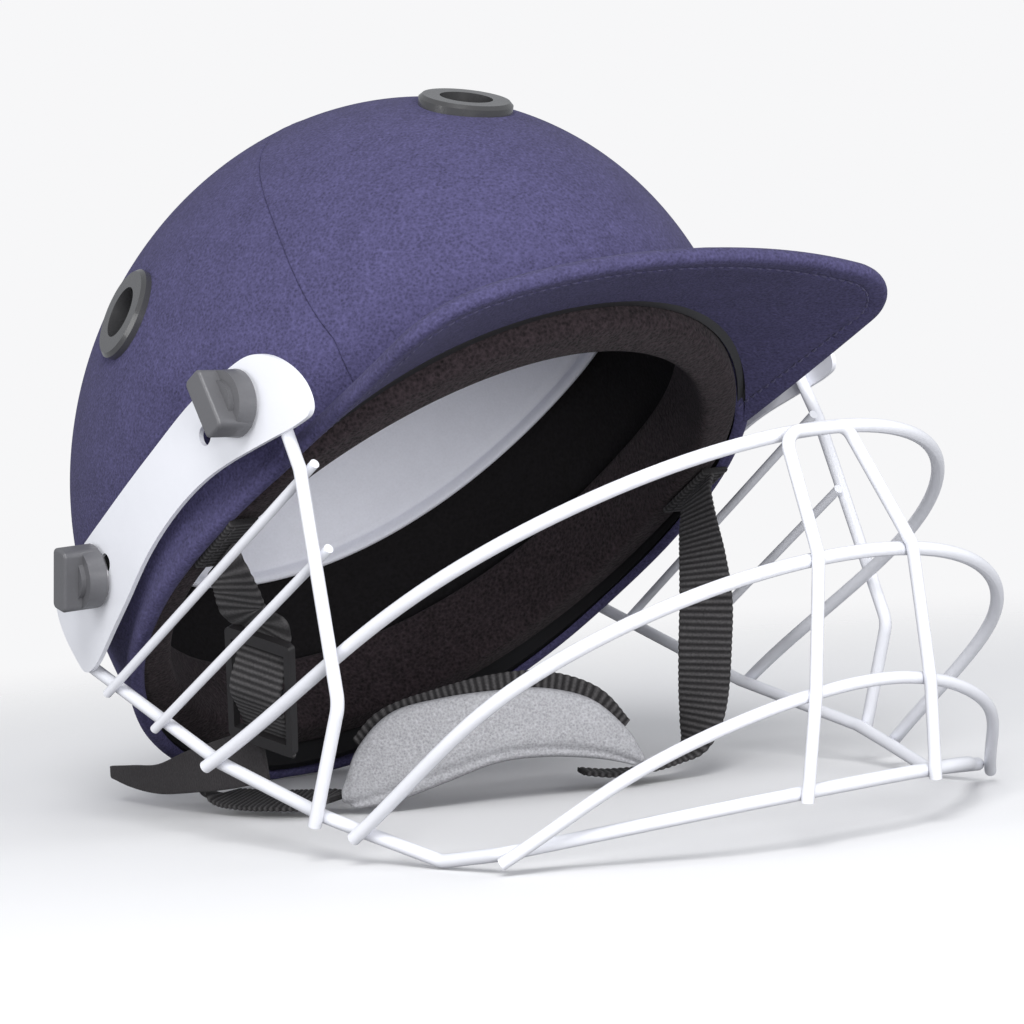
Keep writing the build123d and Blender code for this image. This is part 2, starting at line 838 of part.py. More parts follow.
def patch_solid(x_sign):
    top = -(band_temple_drop + band_ear_drop) / 2 - hole_clearance
    spot = from_worn(x_sign * patch_spread, patch_place, top - patch_thickness)
    with BuildPart() as patch:
        with BuildSketch(Plane(origin=spot, x_dir=worn.x_dir, z_dir=worn.z_dir)):
            RectangleRounded(patch_width, patch_length, patch_width / 4)
        extrude(amount=patch_thickness)
    return patch.part


with BuildPart() as right_strap_patch:
    add(patch_solid(-1))

with BuildPart() as left_strap_patch:
    add(patch_solid(1))

# Near strap: it hangs from its patch and is woven through the buckle
buckle_plane = Plane(origin=(-80, 22, 45), x_dir=(0.35, -0.89, -0.29), z_dir=(-0.92, -0.27, -0.28))
bar_step = (buckle_height - buckle_bar) / 2


def at_buckle(across, up, out):
    return buckle_plane.from_local_coords(Vector(across, up, out))


buckle_across = buckle_plane.x_dir
with BuildPart() as strap_buckle:
    with BuildSketch(buckle_plane.offset(-buckle_thickness / 2)):
        RectangleRounded(buckle_width, buckle_height, buckle_round)
        with Locations((0, bar_step / 2), (0, -bar_step / 2)):
            Rectangle(buckle_width - 1.2 * buckle_bar, bar_step - buckle_bar, mode=Mode.SUBTRACT)
    extrude(amount=buckle_thickness)

hang_way = worn.y_dir * -1
with BuildPart() as right_strap:
    add(
        band_solid(
            [
                ((-94.0, 16.5, 88.5), hang_way, 1),
                ((-93.2, 14.2, 84.3), hang_way, 1),
                ((-90.5, 14.5, 78.0), (0.12, -0.93, 0.20), 1),
                ((-87.0, 16.0, 71.0), (0.25, -0.95, 0.10), 1),
                (at_buckle(0, bar_step * 1.30, -weave), buckle_across, 1),
                (at_buckle(0, bar_step, -weave), buckle_across, 1),
                (at_buckle(0, bar_step / 2, 0), buckle_across, 1),
                (at_buckle(0, 0, weave), buckle_across, 1),
                (at_buckle(0, -bar_step / 2, 0), buckle_across, 1),
                (at_buckle(0, -bar_step, -weave), buckle_across, 1),
                (at_buckle(0, -bar_step * 1.30, -weave), buckle_across, 1),
            ],
            strap_width,
            strap_thickness,
        )
    )

upright_way = (0, 0.25, 0.97)
with BuildPart() as strap_tab:
    add(
        band_solid(
            [
                ((-72.4, 36.8, 22.9), upright_way, 0.90),
                ((-72.6, 60.0, 18.5), upright_way, 0.85),
                ((-72.5, 84.0, 14.5), upright_way, 0.72),
                ((-72.0, 107.0, 10.5), upright_way, 0.52),
                ((-71.0, 128.0, 10.0), upright_way, 0.40),
                ((-70.0, 145.0, 10.5), upright_way, 0.22),
            ],
            strap_width,
            strap_thickness,
        )
    )

with BuildPart() as lower_elastic:
    add(
        band_solid(
            [
                ((-69.8, 86.0, 19.0), (0, 1, 0), 0.9),
                ((-69.3, 86.0, 12.0), (0.05, 1, 0), 0.9),
                ((-66.0, 83.4, 6.8), (0.08, 0.99, 0), 0.85),
                ((-64.0, 77.3, 4.4), (0.36, 0.93, 0), 0.75),
                ((-61.5, 65.0, 3.2), (0.76, 0.65, 0), 0.9),
                ((-57.0, 51.0, 3.0), (0.90, 0.40, 0), 1),
                ((-52.5, 42.0, 3.2), (0.86, 0.50, 0), 1),
                ((-50.3, 36.5, 4.0), (0.82, 0.57, 0), 0.8),
                ((-48.9, 30.0, 5.8), (0.77, 0.64, 0), 0.5),
            ],
            elastic_width,
            elastic_thickness,
        )
    )

# Chin cup: a curved pad, and the elastic behind it
cup_stations = [
    ((-48.5, 29.5, 6.0), 8.0, 0.55),
    ((-43.5, 23.5, 12.5), 22.0, 0.85),
    ((-35.0, 16.5, 18.0), 30.0, 1),
    ((-22.0, 7.0, 22.0), 28.5, 1),
    ((-8.0, -2.5, 25.0), 24.5, 1),
    ((6.0, -10.5, 25.0), 23.5, 1),
    ((20.0, -17.5, 21.5), 20.5, 1),
    ((30.0, -21.5, 15.0), 13.0, 0.8),
    ((36.0, -23.5, 9.0), 6.0, 0.5),
]


def level_way(stations, index):
    before = Vector(stations[max(index - 1, 0)][0])
    after = Vector(stations[min(index + 1, len(stations) - 1)][0])
    return Vector(after.X - before.X, after.Y - before.Y, 0).normalized()


with BuildPart() as chin_cup:
    for index, (spot, height, share) in enumerate(cup_stations):
        with BuildSketch(Plane(origin=spot, x_dir=(0, 0, 1), z_dir=level_way(cup_stations, index))):
            thickness = cup_thickness * share
            RectangleRounded(height, thickness, min(height, thickness) * 0.45)
    loft()

with BuildPart() as cup_elastic:
    elastic_stations = []
    for index, (spot, height, share) in enumerate(cup_stations[1:-1], start=1):
        way = level_way(cup_stations, index)
        back_way = Vector(-way.Y, way.X, 0)
        away = back_way * (cup_thickness * share / 2 + cup_gap + elastic_thickness / 2)
        lift = Vector(0, 0, cup_elastic_lift)
        elastic_stations.append((Vector(spot) + away + lift, (0, 0, 1), 1))
    add(band_solid(elastic_stations, elastic_width, elastic_thickness))

# Far strap: it hangs from the other patch, twists, and turns in under the cup
with BuildPart() as left_strap:
    add(
        band_solid(
            [
                ((90.0, 3.5, 94.5), (0, -0.87, 0.49), 0.8),
                ((84.0, -1.5, 91.5), (0.30, -0.85, 0.40), 0.8),
                ((78.0, -8.5, 83.0), (0.60, -0.78, 0.10), 0.9),
                ((72.0, -17.0, 71.0), (0.75, -0.66, 0), 1),
                ((68.0, -22.0, 58.0), (0.81, -0.58, 0), 1),
                ((66.0, -22.0, 42.0), (0.81, -0.58, 0), 1),
                ((66.0, -19.5, 27.0), (0.75, -0.66, 0), 1),
                ((65.5, -18.0, 16.0), (0.50, -0.86, 0), 1),
                ((63.0, -17.0, 9.0), (0.15, -0.98, 0), 1),
                ((56.0, -14.5, 5.0), (-0.15, -0.98, 0), 1),
                ((46.0, -11.0, 3.6), (-0.35, -0.93, 0), 1),
                ((35.0, -6.0, 3.6), (-0.40, -0.91, 0), 1),
                ((26.0, -1.5, 4.8), (-0.40, -0.91, 0), 0.9),
            ],
            elastic_width,
            elastic_thickness,
        )
    )

pieces = {
    "hard_shell": hard_shell,
    "front_cover_panel": front_cover_panel,
    "rear_cover_panel": rear_cover_panel,
    "peak_cover": peak_cover,
    "vent_back_rings": vent_back_rings,
    "foam_lining": foam_lining,
    "crown_liner": crown_liner,
    "rim_band": rim_band,
    "right_side_plate": right_side_plate,
    "left_side_plate": left_side_plate,
    "spacers": spacers,
    "thread_nuts": thread_nuts,
    "main_frame": main_frame,
    "upper_hoop": upper_hoop,
    "middle_hoop": middle_hoop,
    "lower_hoop": lower_hoop,
    "front_staple": front_staple,
    "right_upright": right_upright,
    "left_upright": left_upright,
    "right_upper_bar": right_upper_bar,
    "right_lower_bar": right_lower_bar,
    "left_upper_bar": left_upper_bar,
    "left_lower_bar": left_lower_bar,
    "right_strap_patch": right_strap_patch,
    "left_strap_patch": left_strap_patch,
    "strap_buckle": strap_buckle,
    "right_strap": right_strap,
    "strap_tab": strap_tab,
    "lower_elastic": lower_elastic,
    "chin_cup": chin_cup,
    "cup_elastic": cup_elastic,
    "left_strap": left_strap,
}
for place, vent in vents.items():
    pieces[f"{place}_vent"] = vent
for place in knob_planes:
    pieces[f"{place}_knob"] = knobs[place]
    pieces[f"{place}_screw"] = screws[place]
    pieces[f"{place}_washer"] = washers[place]

for name, piece in pieces.items():
    piece.part.label = name
    export_step(piece.part, f"parts/{name}.step")
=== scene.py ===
import json
import math

import bmesh
import bpy
from mathutils import Matrix, Vector


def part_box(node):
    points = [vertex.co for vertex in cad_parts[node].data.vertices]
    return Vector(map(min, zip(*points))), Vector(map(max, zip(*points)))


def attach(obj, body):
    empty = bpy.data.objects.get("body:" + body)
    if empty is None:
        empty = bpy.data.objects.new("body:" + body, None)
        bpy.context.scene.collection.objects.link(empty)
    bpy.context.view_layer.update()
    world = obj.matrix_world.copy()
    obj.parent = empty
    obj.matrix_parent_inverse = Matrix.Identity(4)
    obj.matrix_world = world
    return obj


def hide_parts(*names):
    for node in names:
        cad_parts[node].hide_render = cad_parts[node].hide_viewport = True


# Looks of a cricket helmet with a wire face grille. Metres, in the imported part's frame.
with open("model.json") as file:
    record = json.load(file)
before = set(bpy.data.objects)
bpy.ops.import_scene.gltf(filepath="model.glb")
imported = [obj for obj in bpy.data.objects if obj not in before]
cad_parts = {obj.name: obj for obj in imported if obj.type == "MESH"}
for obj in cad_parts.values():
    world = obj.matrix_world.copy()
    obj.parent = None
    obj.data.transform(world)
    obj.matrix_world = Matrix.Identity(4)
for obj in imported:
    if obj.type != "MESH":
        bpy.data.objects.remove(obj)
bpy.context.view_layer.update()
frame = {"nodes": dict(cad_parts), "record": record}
nodes = frame["nodes"]
scene = bpy.context.scene
mm = 0.001

# Colours as linear red, green, blue
navy = (0.060, 0.055, 0.128)
white_paint = (0.80, 0.81, 0.86)
liner_grey = (0.86, 0.87, 0.95)
band_brown = (0.028, 0.020, 0.023)
foam_black = (0.008, 0.007, 0.008)
webbing_black = (0.016, 0.015, 0.016)
# Lighter colour laid on the rib crests of elastic and webbing: a painted highlight
painted_crest_highlight = (0.075, 0.072, 0.074)
tab_grey = (0.034, 0.031, 0.033)
cup_silver = (0.37, 0.37, 0.39)
knob_grey = (0.108, 0.108, 0.116)
vent_black = (0.045, 0.045, 0.047)
steel_grey = (0.45, 0.45, 0.46)
rubber_black = (0.018, 0.018, 0.018)
shell_black = (0.022, 0.022, 0.024)
thread_navy = (0.075, 0.070, 0.140)
thread_black = (0.050, 0.047, 0.050)

# The worn frame, as in the part: back along the head and up to the crown, leaning back in the stance
lean = math.radians(29.3)
shell_centre = Vector((0, 49.7, 108.0)) * mm


def from_worn(x, back, up):
    """A place in the worn frame, in millimetres, as a place in the part's frame, in metres."""
    away = back * math.cos(lean) + up * math.sin(lean)
    rise = up * math.cos(lean) - back * math.sin(lean)
    return shell_centre + Vector((x, away, rise)) * mm


# Shader groups that several materials share
def shader_group(name, inputs, outputs):
    group = bpy.data.node_groups.new(name, "ShaderNodeTree")
    for label, kind, value in inputs:
        socket = group.interface.new_socket(name=label, in_out="INPUT", socket_type=kind)
        socket.default_value = value
    for label, kind in outputs:
        group.interface.new_socket(name=label, in_out="OUTPUT", socket_type=kind)
    entry = group.nodes.new("NodeGroupInput")
    leave = group.nodes.new("NodeGroupOutput")
    return group, entry, leave


def shader_node(tree, kind, settings=None, **inputs):
    """A node with its settings and input values; a linked input is given as an output socket."""
    made = tree.nodes.new(kind)
    for key, value in (settings or {}).items():
        setattr(made, key, value)
    for key, value in inputs.items():
        socket = made.inputs[key.replace("_", " ")]
        if isinstance(value, bpy.types.NodeSocket):
            tree.links.new(value, socket)
        else:
            socket.default_value = value
    return made


def maths(tree, operation, first, second=None):
    made = tree.nodes.new("ShaderNodeMath")
    made.operation = operation
    for socket, value in zip(made.inputs, (first, second)):
        if value is None:
            continue
        if isinstance(value, bpy.types.NodeSocket):
            tree.links.new(value, socket)
        else:
            socket.default_value = value
    return made.outputs["Value"]


def tinted(tree, colour, factor):
    """The colour times a factor that changes over the surface."""
    made = tree.nodes.new("ShaderNodeVectorMath")
    made.operation = "SCALE"
    tree.links.new(colour, made.inputs[0])
    tree.links.new(factor, made.inputs["Scale"])
    return made.outputs["Vector"]


grain_middle = 0.72


def fibre_group():
    """Cloth: fine thread grain over a broad, faint mottle."""
    group, entry, leave = shader_group(
        "fibre",
        [
            ("Color", "NodeSocketColor", (0.5, 0.5, 0.5, 1)),
            ("Threads", "NodeSocketFloat", 900.0),
            ("Contrast", "NodeSocketFloat", 0.2),
            ("Mottle", "NodeSocketFloat", 0.08),
        ],
        [("Color", "NodeSocketColor"), ("Height", "NodeSocketFloat")],
    )
    place = shader_node(group, "ShaderNodeTexCoord").outputs["Object"]
    threads = entry.outputs["Threads"]
    fine = shader_node(group, "ShaderNodeTexNoise", Vector=place, Scale=threads, Detail=3.0, Roughness=0.7)
    cells = shader_node(group, "ShaderNodeTexVoronoi", Vector=place, Scale=threads)
    broad = shader_node(group, "ShaderNodeTexNoise", Vector=place, Scale=90.0, Detail=6.0, Roughness=0.75)
    grain = maths(group, "ADD", fine.outputs["Fac"], maths(group, "MULTIPLY", cells.outputs["Distance"], 0.5))
    contrast = maths(group, "MULTIPLY", entry.outputs["Contrast"], 3.0)
    spread = maths(group, "MULTIPLY", maths(group, "SUBTRACT", grain, grain_middle), contrast)
    mottle = maths(group, "MULTIPLY", entry.outputs["Mottle"], 4.0)
    patch = maths(group, "MULTIPLY", maths(group, "SUBTRACT", broad.outputs["Fac"], 0.5), mottle)
    factor = maths(group, "ADD", 1.0, maths(group, "ADD", spread, patch))
    group.links.new(tinted(group, entry.outputs["Color"], factor), leave.inputs["Color"])
    group.links.new(grain, leave.inputs["Height"])
    return group


def moulded_group():
    """Plastic, paint and rubber: a fine orange-peel face with slightly uneven gloss."""
    group, entry, leave = shader_group(
        "moulded",
        [
            ("Color", "NodeSocketColor", (0.5, 0.5, 0.5, 1)),
            ("Grain", "NodeSocketFloat", 700.0),
            ("Contrast", "NodeSocketFloat", 0.05),
            ("Roughness", "NodeSocketFloat", 0.4),
        ],
        [("Color", "NodeSocketColor"), ("Roughness", "NodeSocketFloat"), ("Height", "NodeSocketFloat")],
    )
    place = shader_node(group, "ShaderNodeTexCoord").outputs["Object"]
    fine = shader_node(group, "ShaderNodeTexNoise", Vector=place, Scale=entry.outputs["Grain"], Detail=2.0)
    broad = shader_node(group, "ShaderNodeTexNoise", Vector=place, Scale=60.0, Detail=3.0)
    drift = maths(group, "SUBTRACT", broad.outputs["Fac"], 0.5)
    contrast = maths(group, "MULTIPLY", entry.outputs["Contrast"], 4.0)
    factor = maths(group, "ADD", 1.0, maths(group, "MULTIPLY", drift, contrast))
    rough = maths(group, "ADD", entry.outputs["Roughness"], maths(group, "MULTIPLY", drift, 0.15))
    group.links.new(tinted(group, entry.outputs["Color"], factor), leave.inputs["Color"])
    group.links.new(rough, leave.inputs["Roughness"])
    group.links.new(fine.outputs["Fac"], leave.inputs["Height"])
    return group


fibre = fibre_group()
moulded = moulded_group()


def new_material(name, **shader_values):
    made = bpy.data.materials.new(name)
    made.use_nodes = True
    shader = made.node_tree.nodes["Principled BSDF"]
    for key, value in shader_values.items():
        shader.inputs[key.replace("_", " ")].default_value = value
    return made, made.node_tree, shader


def placed_group(tree, group, values):
    made = tree.nodes.new("ShaderNodeGroup")
    made.node_tree = group
    for key, value in values.items():
        made.inputs[key].default_value = value
    return made


def add_relief(tree, shader, height, strength, depth):
    relief = shader_node(tree, "ShaderNodeBump", Strength=strength, Distance=depth, Height=height)
    tree.links.new(relief.outputs["Normal"], shader.inputs["Normal"])


def cloth(name, colour, thread, contrast, mottle, relief=0.4, sheen=0.2, rough=0.93):
    """A woven or felted face; thread is the size of its grain in metres."""
    made, tree, shader = new_material(name, Roughness=rough, Sheen_Weight=sheen, Specular_IOR_Level=0.25)
    effect = placed_group(
        tree, fibre, {"Color": (*colour, 1), "Threads": 1 / thread, "Contrast": contrast, "Mottle": mottle}
    )
    tree.links.new(effect.outputs["Color"], shader.inputs["Base Color"])
    add_relief(tree, shader, effect.outputs["Height"], relief, thread * 0.5)
    return made


def moulding(name, colour, rough, grain=0.0014, contrast=0.05, relief=0.12, metal=0.0, coat=0.0):
    made, tree, shader = new_material(name, Metallic=metal, Coat_Weight=coat)
    effect = placed_group(
        tree, moulded, {"Color": (*colour, 1), "Grain": 1 / grain, "Contrast": contrast, "Roughness": rough}
    )
    tree.links.new(effect.outputs["Color"], shader.inputs["Base Color"])
    tree.links.new(effect.outputs["Roughness"], shader.inputs["Roughness"])
    add_relief(tree, shader, effect.outputs["Height"], relief, grain * 0.3)
    return made


crest_sharpness = 2.5
webbing_thread = 0.7 * mm
webbing_relief = 0.3 * mm


def ribbed(name):
    """Elastic and webbing: the crest of each rib is painted lighter than the grooves between, a painted
    highlight on the crests and painted shade in the grooves.
    """
    made, tree, shader = new_material(name, Roughness=0.85, Sheen_Weight=0.05, Specular_IOR_Level=0.25)
    crest = shader_node(tree, "ShaderNodeAttribute", settings={"attribute_name": "rib"}).outputs["Fac"]
    tone = shader_node(tree, "ShaderNodeMix", settings={"data_type": "RGBA"})
    tone.inputs["A"].default_value = (*webbing_black, 1)
    tone.inputs["B"].default_value = (*painted_crest_highlight, 1)
    # Painted light: crests mix towards the lighter colour as a painted highlight, grooves keep the dark
    # colour as painted shade
    tree.links.new(maths(tree, "POWER", crest, crest_sharpness), tone.inputs["Factor"])
    effect = placed_group(tree, fibre, {"Threads": 1 / webbing_thread, "Contrast": 0.35, "Mottle": 0.10})
    tree.links.new(tone.outputs["Result"], effect.inputs["Color"])
    tree.links.new(effect.outputs["Color"], shader.inputs["Base Color"])
    add_relief(tree, shader, effect.outputs["Height"], 0.5, webbing_relief)
    return made


navy_cloth = cloth("navy_cloth", navy, 0.0010, 0.42, 0.16, relief=0.7, sheen=0.02)
liner_cloth = cloth("liner_cloth", liner_grey, 0.0009, 0.03, 0.03, relief=0.08, sheen=0.0, rough=0.5)
band_felt = cloth("band_felt", band_brown, 0.0013, 0.80, 0.30, relief=0.9, sheen=0.04)
black_foam = cloth("black_foam", foam_black, 0.0014, 0.40, 0.10, relief=0.4, sheen=0.0)
webbing = ribbed("webbing")
elastic = ribbed("elastic")
tab_cloth = cloth("tab_cloth", tab_grey, 0.0008, 0.30, 0.08, relief=0.4, sheen=0.05)
cup_cloth = cloth("cup_cloth", cup_silver, 0.0008, 0.30, 0.06, relief=0.5, sheen=0.02, rough=0.5)
paint = moulding("white_paint", white_paint, 0.35, grain=0.0035, contrast=0.015, relief=0.05, coat=0.15)
knob_plastic = moulding("knob_plastic", knob_grey, 0.42, relief=0.15, coat=0.15)
vent_plastic = moulding("vent_plastic", vent_black, 0.28, coat=0.5)
buckle_plastic = moulding("buckle_plastic", webbing_black, 0.42)
shell_plastic = moulding("shell_plastic", shell_black, 0.35)
rubber = moulding("rubber", rubber_black, 0.70)
steel = moulding("plated_steel", steel_grey, 0.32, metal=1.0, relief=0.05)

navy_thread = cloth("navy_thread", thread_navy, 0.0004, 0.25, 0.05, relief=0.3, sheen=0.1)
dark_thread = cloth("dark_thread", thread_black, 0.0004, 0.25, 0.05, relief=0.3, sheen=0.1)

# Each slot of the record gets its finish; the threads and the tab share a slot with their cloth
finish_of_slot = {
    "shell_plastic": shell_plastic,
    "navy_cloth": navy_cloth,
    "vent_plastic": vent_plastic,
    "black_foam": black_foam,
    "liner_cloth": liner_cloth,
    "band_felt": band_felt,
    "white_metal": paint,
    "black_rubber": rubber,
    "plated_steel": steel,
    "black_webbing": webbing,
    "black_elastic": elastic,
    "buckle_plastic": buckle_plastic,
    "cup_foam": cup_cloth,
    "knob_plastic": knob_plastic,
}
slot_of_finish = {finish.name: slot for slot, finish in finish_of_slot.items()}
slot_of_finish["tab_cloth"] = "black_webbing"
slot_of_finish["navy_thread"] = "navy_cloth"
slot_of_finish["dark_thread"] = "black_webbing"
slot_of_node = {entry["node"]: entry["material_slot"] for entry in frame["record"]["subparts"]}
for name, thing in nodes.items():
    thing.data.materials.clear()
    thing.data.materials.append(finish_of_slot[slot_of_node[name]])


# New pieces ride on the helmet, take a finish, and stand for their soft CAD nodes
def new_piece(name, mesh, finish, replaced=()):
    thing = bpy.data.objects.new(name, mesh)
    scene.collection.objects.link(thing)
    thing.data.materials.append(finish)
    thing.data.polygons.foreach_set("use_smooth", [True] * len(thing.data.polygons))
    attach(thing, "helmet")
    if replaced:
        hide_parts(*replaced)
    return thing


weld_distance = 0.02 * mm


def mesh_of(name, places, faces, weld=True):
    """A mesh from places in metres, its normals turned outward."""
    data = bpy.data.meshes.new(name)
    data.from_pydata([tuple(place) for place in places], [], faces)
    form = bmesh.new()
    form.from_mesh(data)
    if weld:
        bmesh.ops.remove_doubles(form, verts=form.verts, dist=weld_distance)
    bmesh.ops.recalc_face_normals(form, faces=form.faces)
    form.to_mesh(data)
    form.free()
    return data


def grid_faces(rows, columns, closed_rows=False, closed_columns=False):
    faces = []
    for row in range(rows if closed_rows else rows - 1):
        for column in range(columns if closed_columns else columns - 1):
            next_row, next_column = (row + 1) % rows, (column + 1) % columns
            faces.append(
                (row * columns + column, row * columns + next_column,
                 next_row * columns + next_column, next_row * columns + column)
            )
    return faces


# Smooth lines, and the small bumps and grooves that cloth has
def eased(t, here, leave, there, arrive):
    """A value between two others at t from 0 to 1, with its rate at each end."""
    return (
        here * (2 * t**3 - 3 * t**2 + 1)
        + leave * (t**3 - 2 * t**2 + t)
        + there * (3 * t**2 - 2 * t**3)
        + arrive * (t**3 - t**2)
    )


def blend_between(values, share):
    """Smooth value at a share of the way along a list of vectors."""
    spans = len(values) - 1
    at = min(max(share, 0) * spans, spans - 1e-9)
    index = int(at)
    here, there = values[index], values[index + 1]
    before = values[index - 1] if index else here * 2 - there
    after = values[index + 2] if index + 2 <= spans else there * 2 - here
    return eased(at - index, here, (there - before) * 0.5, there, (after - here) * 0.5)


def bump(reach, middle, width):
    """1 at the middle, falling smoothly to nothing about two widths away."""
    return math.exp(-(((reach - middle) / width) ** 2))


def squared_round(angle, power):
    """Cosine and sine of an angle, drawn towards a square's corners by a power under 1."""
    return [math.copysign(abs(side) ** power, side) for side in (math.cos(angle), math.sin(angle))]


def runs_along(line):
    """Distance from the start of a line to each of its places."""
    runs = [0.0]
    for before, after in zip(line, line[1:]):
        runs.append(runs[-1] + (after - before).length)
    return runs


def smooth_line(points):
    """Height along a smooth line through points of (back, up)."""
    backs = [back for back, up in points]
    ups = [up for back, up in points]
    chords = [(ups[i + 1] - ups[i]) / (backs[i + 1] - backs[i]) for i in range(len(points) - 1)]
    slopes = [chords[0]] + [(a + b) / 2 for a, b in zip(chords, chords[1:])] + [chords[-1]]

    def height(back):
        index = 0
        while index < len(points) - 2 and back > backs[index + 1]:
            index += 1
        span = backs[index + 1] - backs[index]
        t = min(max((back - backs[index]) / span, 0), 1)
        return eased(t, ups[index], slopes[index] * span, ups[index + 1], slopes[index + 1] * span)

    return height


# The shell's form, in millimetres: a half ellipsoid on a skirt that draws in
shell_half_width = 107.0
shell_half_length = 135.0
shell_height = 122.0
skirt_depth = 75.0
skirt_draw = 16.0
skirt_radius = (skirt_draw**2 + skirt_depth**2) / (2 * skirt_draw)
narrowing = shell_half_width / shell_half_length
front_limit = -171.5
seam_foot_place = -94.0
temple_place = -55.0
ear_place = 12.0
rear_limit = 155.0
rim_height = smooth_line(
    [(front_limit, -12.0), (seam_foot_place, -21.7), (temple_place, -26.6), (ear_place, -31.5),
     (62.0, -37.5), (rear_limit, -55.7)]
)
band_bottom = smooth_line(
    [(front_limit, -20.0), (temple_place, -29.0), (ear_place, -30.0), (rear_limit, -46.0)]
)
liner_edge = smooth_line([(front_limit, 34.0), (ear_place, 34.0), (rear_limit, 17.0)])
band_height = 30.0
wall_outset = 4.3
foam_outset = 12.3
liner_outset = 16.3
band_outset = 21.3


def skirt_reach(up, inset):
    """Half the shell's length at a height."""
    length, height = shell_half_length - inset, shell_height - inset
    if up >= 0:
        return length * math.sqrt(max(1 - (up / height) ** 2, 0))
    return length - skirt_radius + math.sqrt(skirt_radius**2 - up**2)


def dome_place(way, inset):
    """Where a direction from the shell's centre meets its form drawn in by inset, in the worn frame."""
    up = way.z * (shell_height - inset)
    flat = math.hypot(way.x, way.y)
    if flat < 1e-9:
        return Vector((0, 0, up))
    reach = skirt_reach(up, inset)
    return Vector((narrowing * reach * way.x / flat, reach * way.y / flat, up))


def way_of(place):
    """The direction of a place on the shell's outer form."""
    rise = place.z / shell_height
    flat = math.sqrt(max(1 - rise * rise, 0))
    across = Vector((place.x / narrowing, place.y, 0))
    across = across.normalized() if across.length > 1e-9 else Vector((0, -1, 0))
    return Vector((across.x * flat, across.y * flat, rise))


def edge_way(angle, line, inset=0.0, lift=0.0):
    """The direction in which the form drawn in by inset crosses a rim line, at an angle round the head."""
    up = -30.0
    for _ in range(6):
        up = line(skirt_reach(up, inset) * math.sin(angle)) + lift
    rise = up / (shell_height - inset)
    flat = math.sqrt(1 - rise * rise)
    return Vector((flat * math.cos(angle), flat * math.sin(angle), rise))


def between_ways(first, second, share):
    angle = first.angle(second, 0.0)
    if angle < 1e-6:
        return first.copy()
    return (first * math.sin((1 - share) * angle) + second * math.sin(share * angle)) / math.sin(angle)


def outward_at(place):
    """Outward direction of the shell's form at a place."""
    return Vector(
        (place.x / shell_half_width**2, place.y / shell_half_length**2, max(place.z, 0) / shell_height**2)
    ).normalized()


def part_place(worn_place):
    return from_worn(worn_place.x, worn_place.y, worn_place.z)


vent_centres = {
    name: sum((Vector(corner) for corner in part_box(name)), Vector()) / 2
    for name in ("front_vent", "right_vent", "left_vent")
}
vent_opening = 12.5 * mm


# Cloth cover: two panels stretched from the seam to the rim, with a sunk seam and a rolled hem
seam_gap = 0.6
seam_side = smooth_line([(0.0, seam_foot_place), (55.0, -80.0), (142.0, -32.0)])
seam_steps = 150
seam_profile = [0.0, 0.0022, 0.005, 0.0085, 0.013, 0.02, 0.03]
seam_sink = 0.8
seam_ridge = 0.10
pucker_height = 0.05
hem_lift = 0.8
hem_profile = [
    (1.2, 0.8), (1.15, 1.7), (0.8, 2.6), (0.1, 3.3), (-1.0, 3.7), (-2.3, 3.6), (-3.4, 3.0), (-4.1, 2.0)
]
roll_bulge = 1.15
roll_reach = 4.5
roll_wave = 0.12
peak_side_end = -82.0
roll_fade = 16.0
table_clearance = 0.05 * mm


def seam_ways():
    """Directions along the seam from the right rim over the crown to the left rim, evenly spaced."""

    def under_crown(up):
        side = max(up, 0)
        return (seam_side(side) / shell_half_length) ** 2 + (side / shell_height) ** 2 < 1

    walk, steps, climb = [], 500, 0.05
    up = crown = rim_height(seam_foot_place)
    while crown < shell_height - 1 and under_crown(crown):
        crown += climb
    for step in range(steps + 1):
        here = up + (crown - up) * math.sin(math.pi / 2 * step / steps)
        back = seam_side(here) if here > 0 else seam_foot_place
        reach = skirt_reach(here, 0)
        across = math.sqrt(max(reach**2 - back**2, 0)) * narrowing
        walk.append(Vector((-across, back, here)))
    walk += [Vector((-place.x, place.y, place.z)) for place in reversed(walk[:-1])]
    runs = runs_along(walk)
    ways, cursor = [], 0
    for step in range(seam_steps + 1):
        run = runs[-1] * step / seam_steps
        while cursor < len(walk) - 2 and runs[cursor + 1] < run:
            cursor += 1
        share = (run - runs[cursor]) / (runs[cursor + 1] - runs[cursor])
        ways.append(way_of(walk[cursor].lerp(walk[cursor + 1], share)))
    return ways


def clear_of_vents(middle):
    return all((middle - centre).length > vent_opening for centre in vent_centres.values())


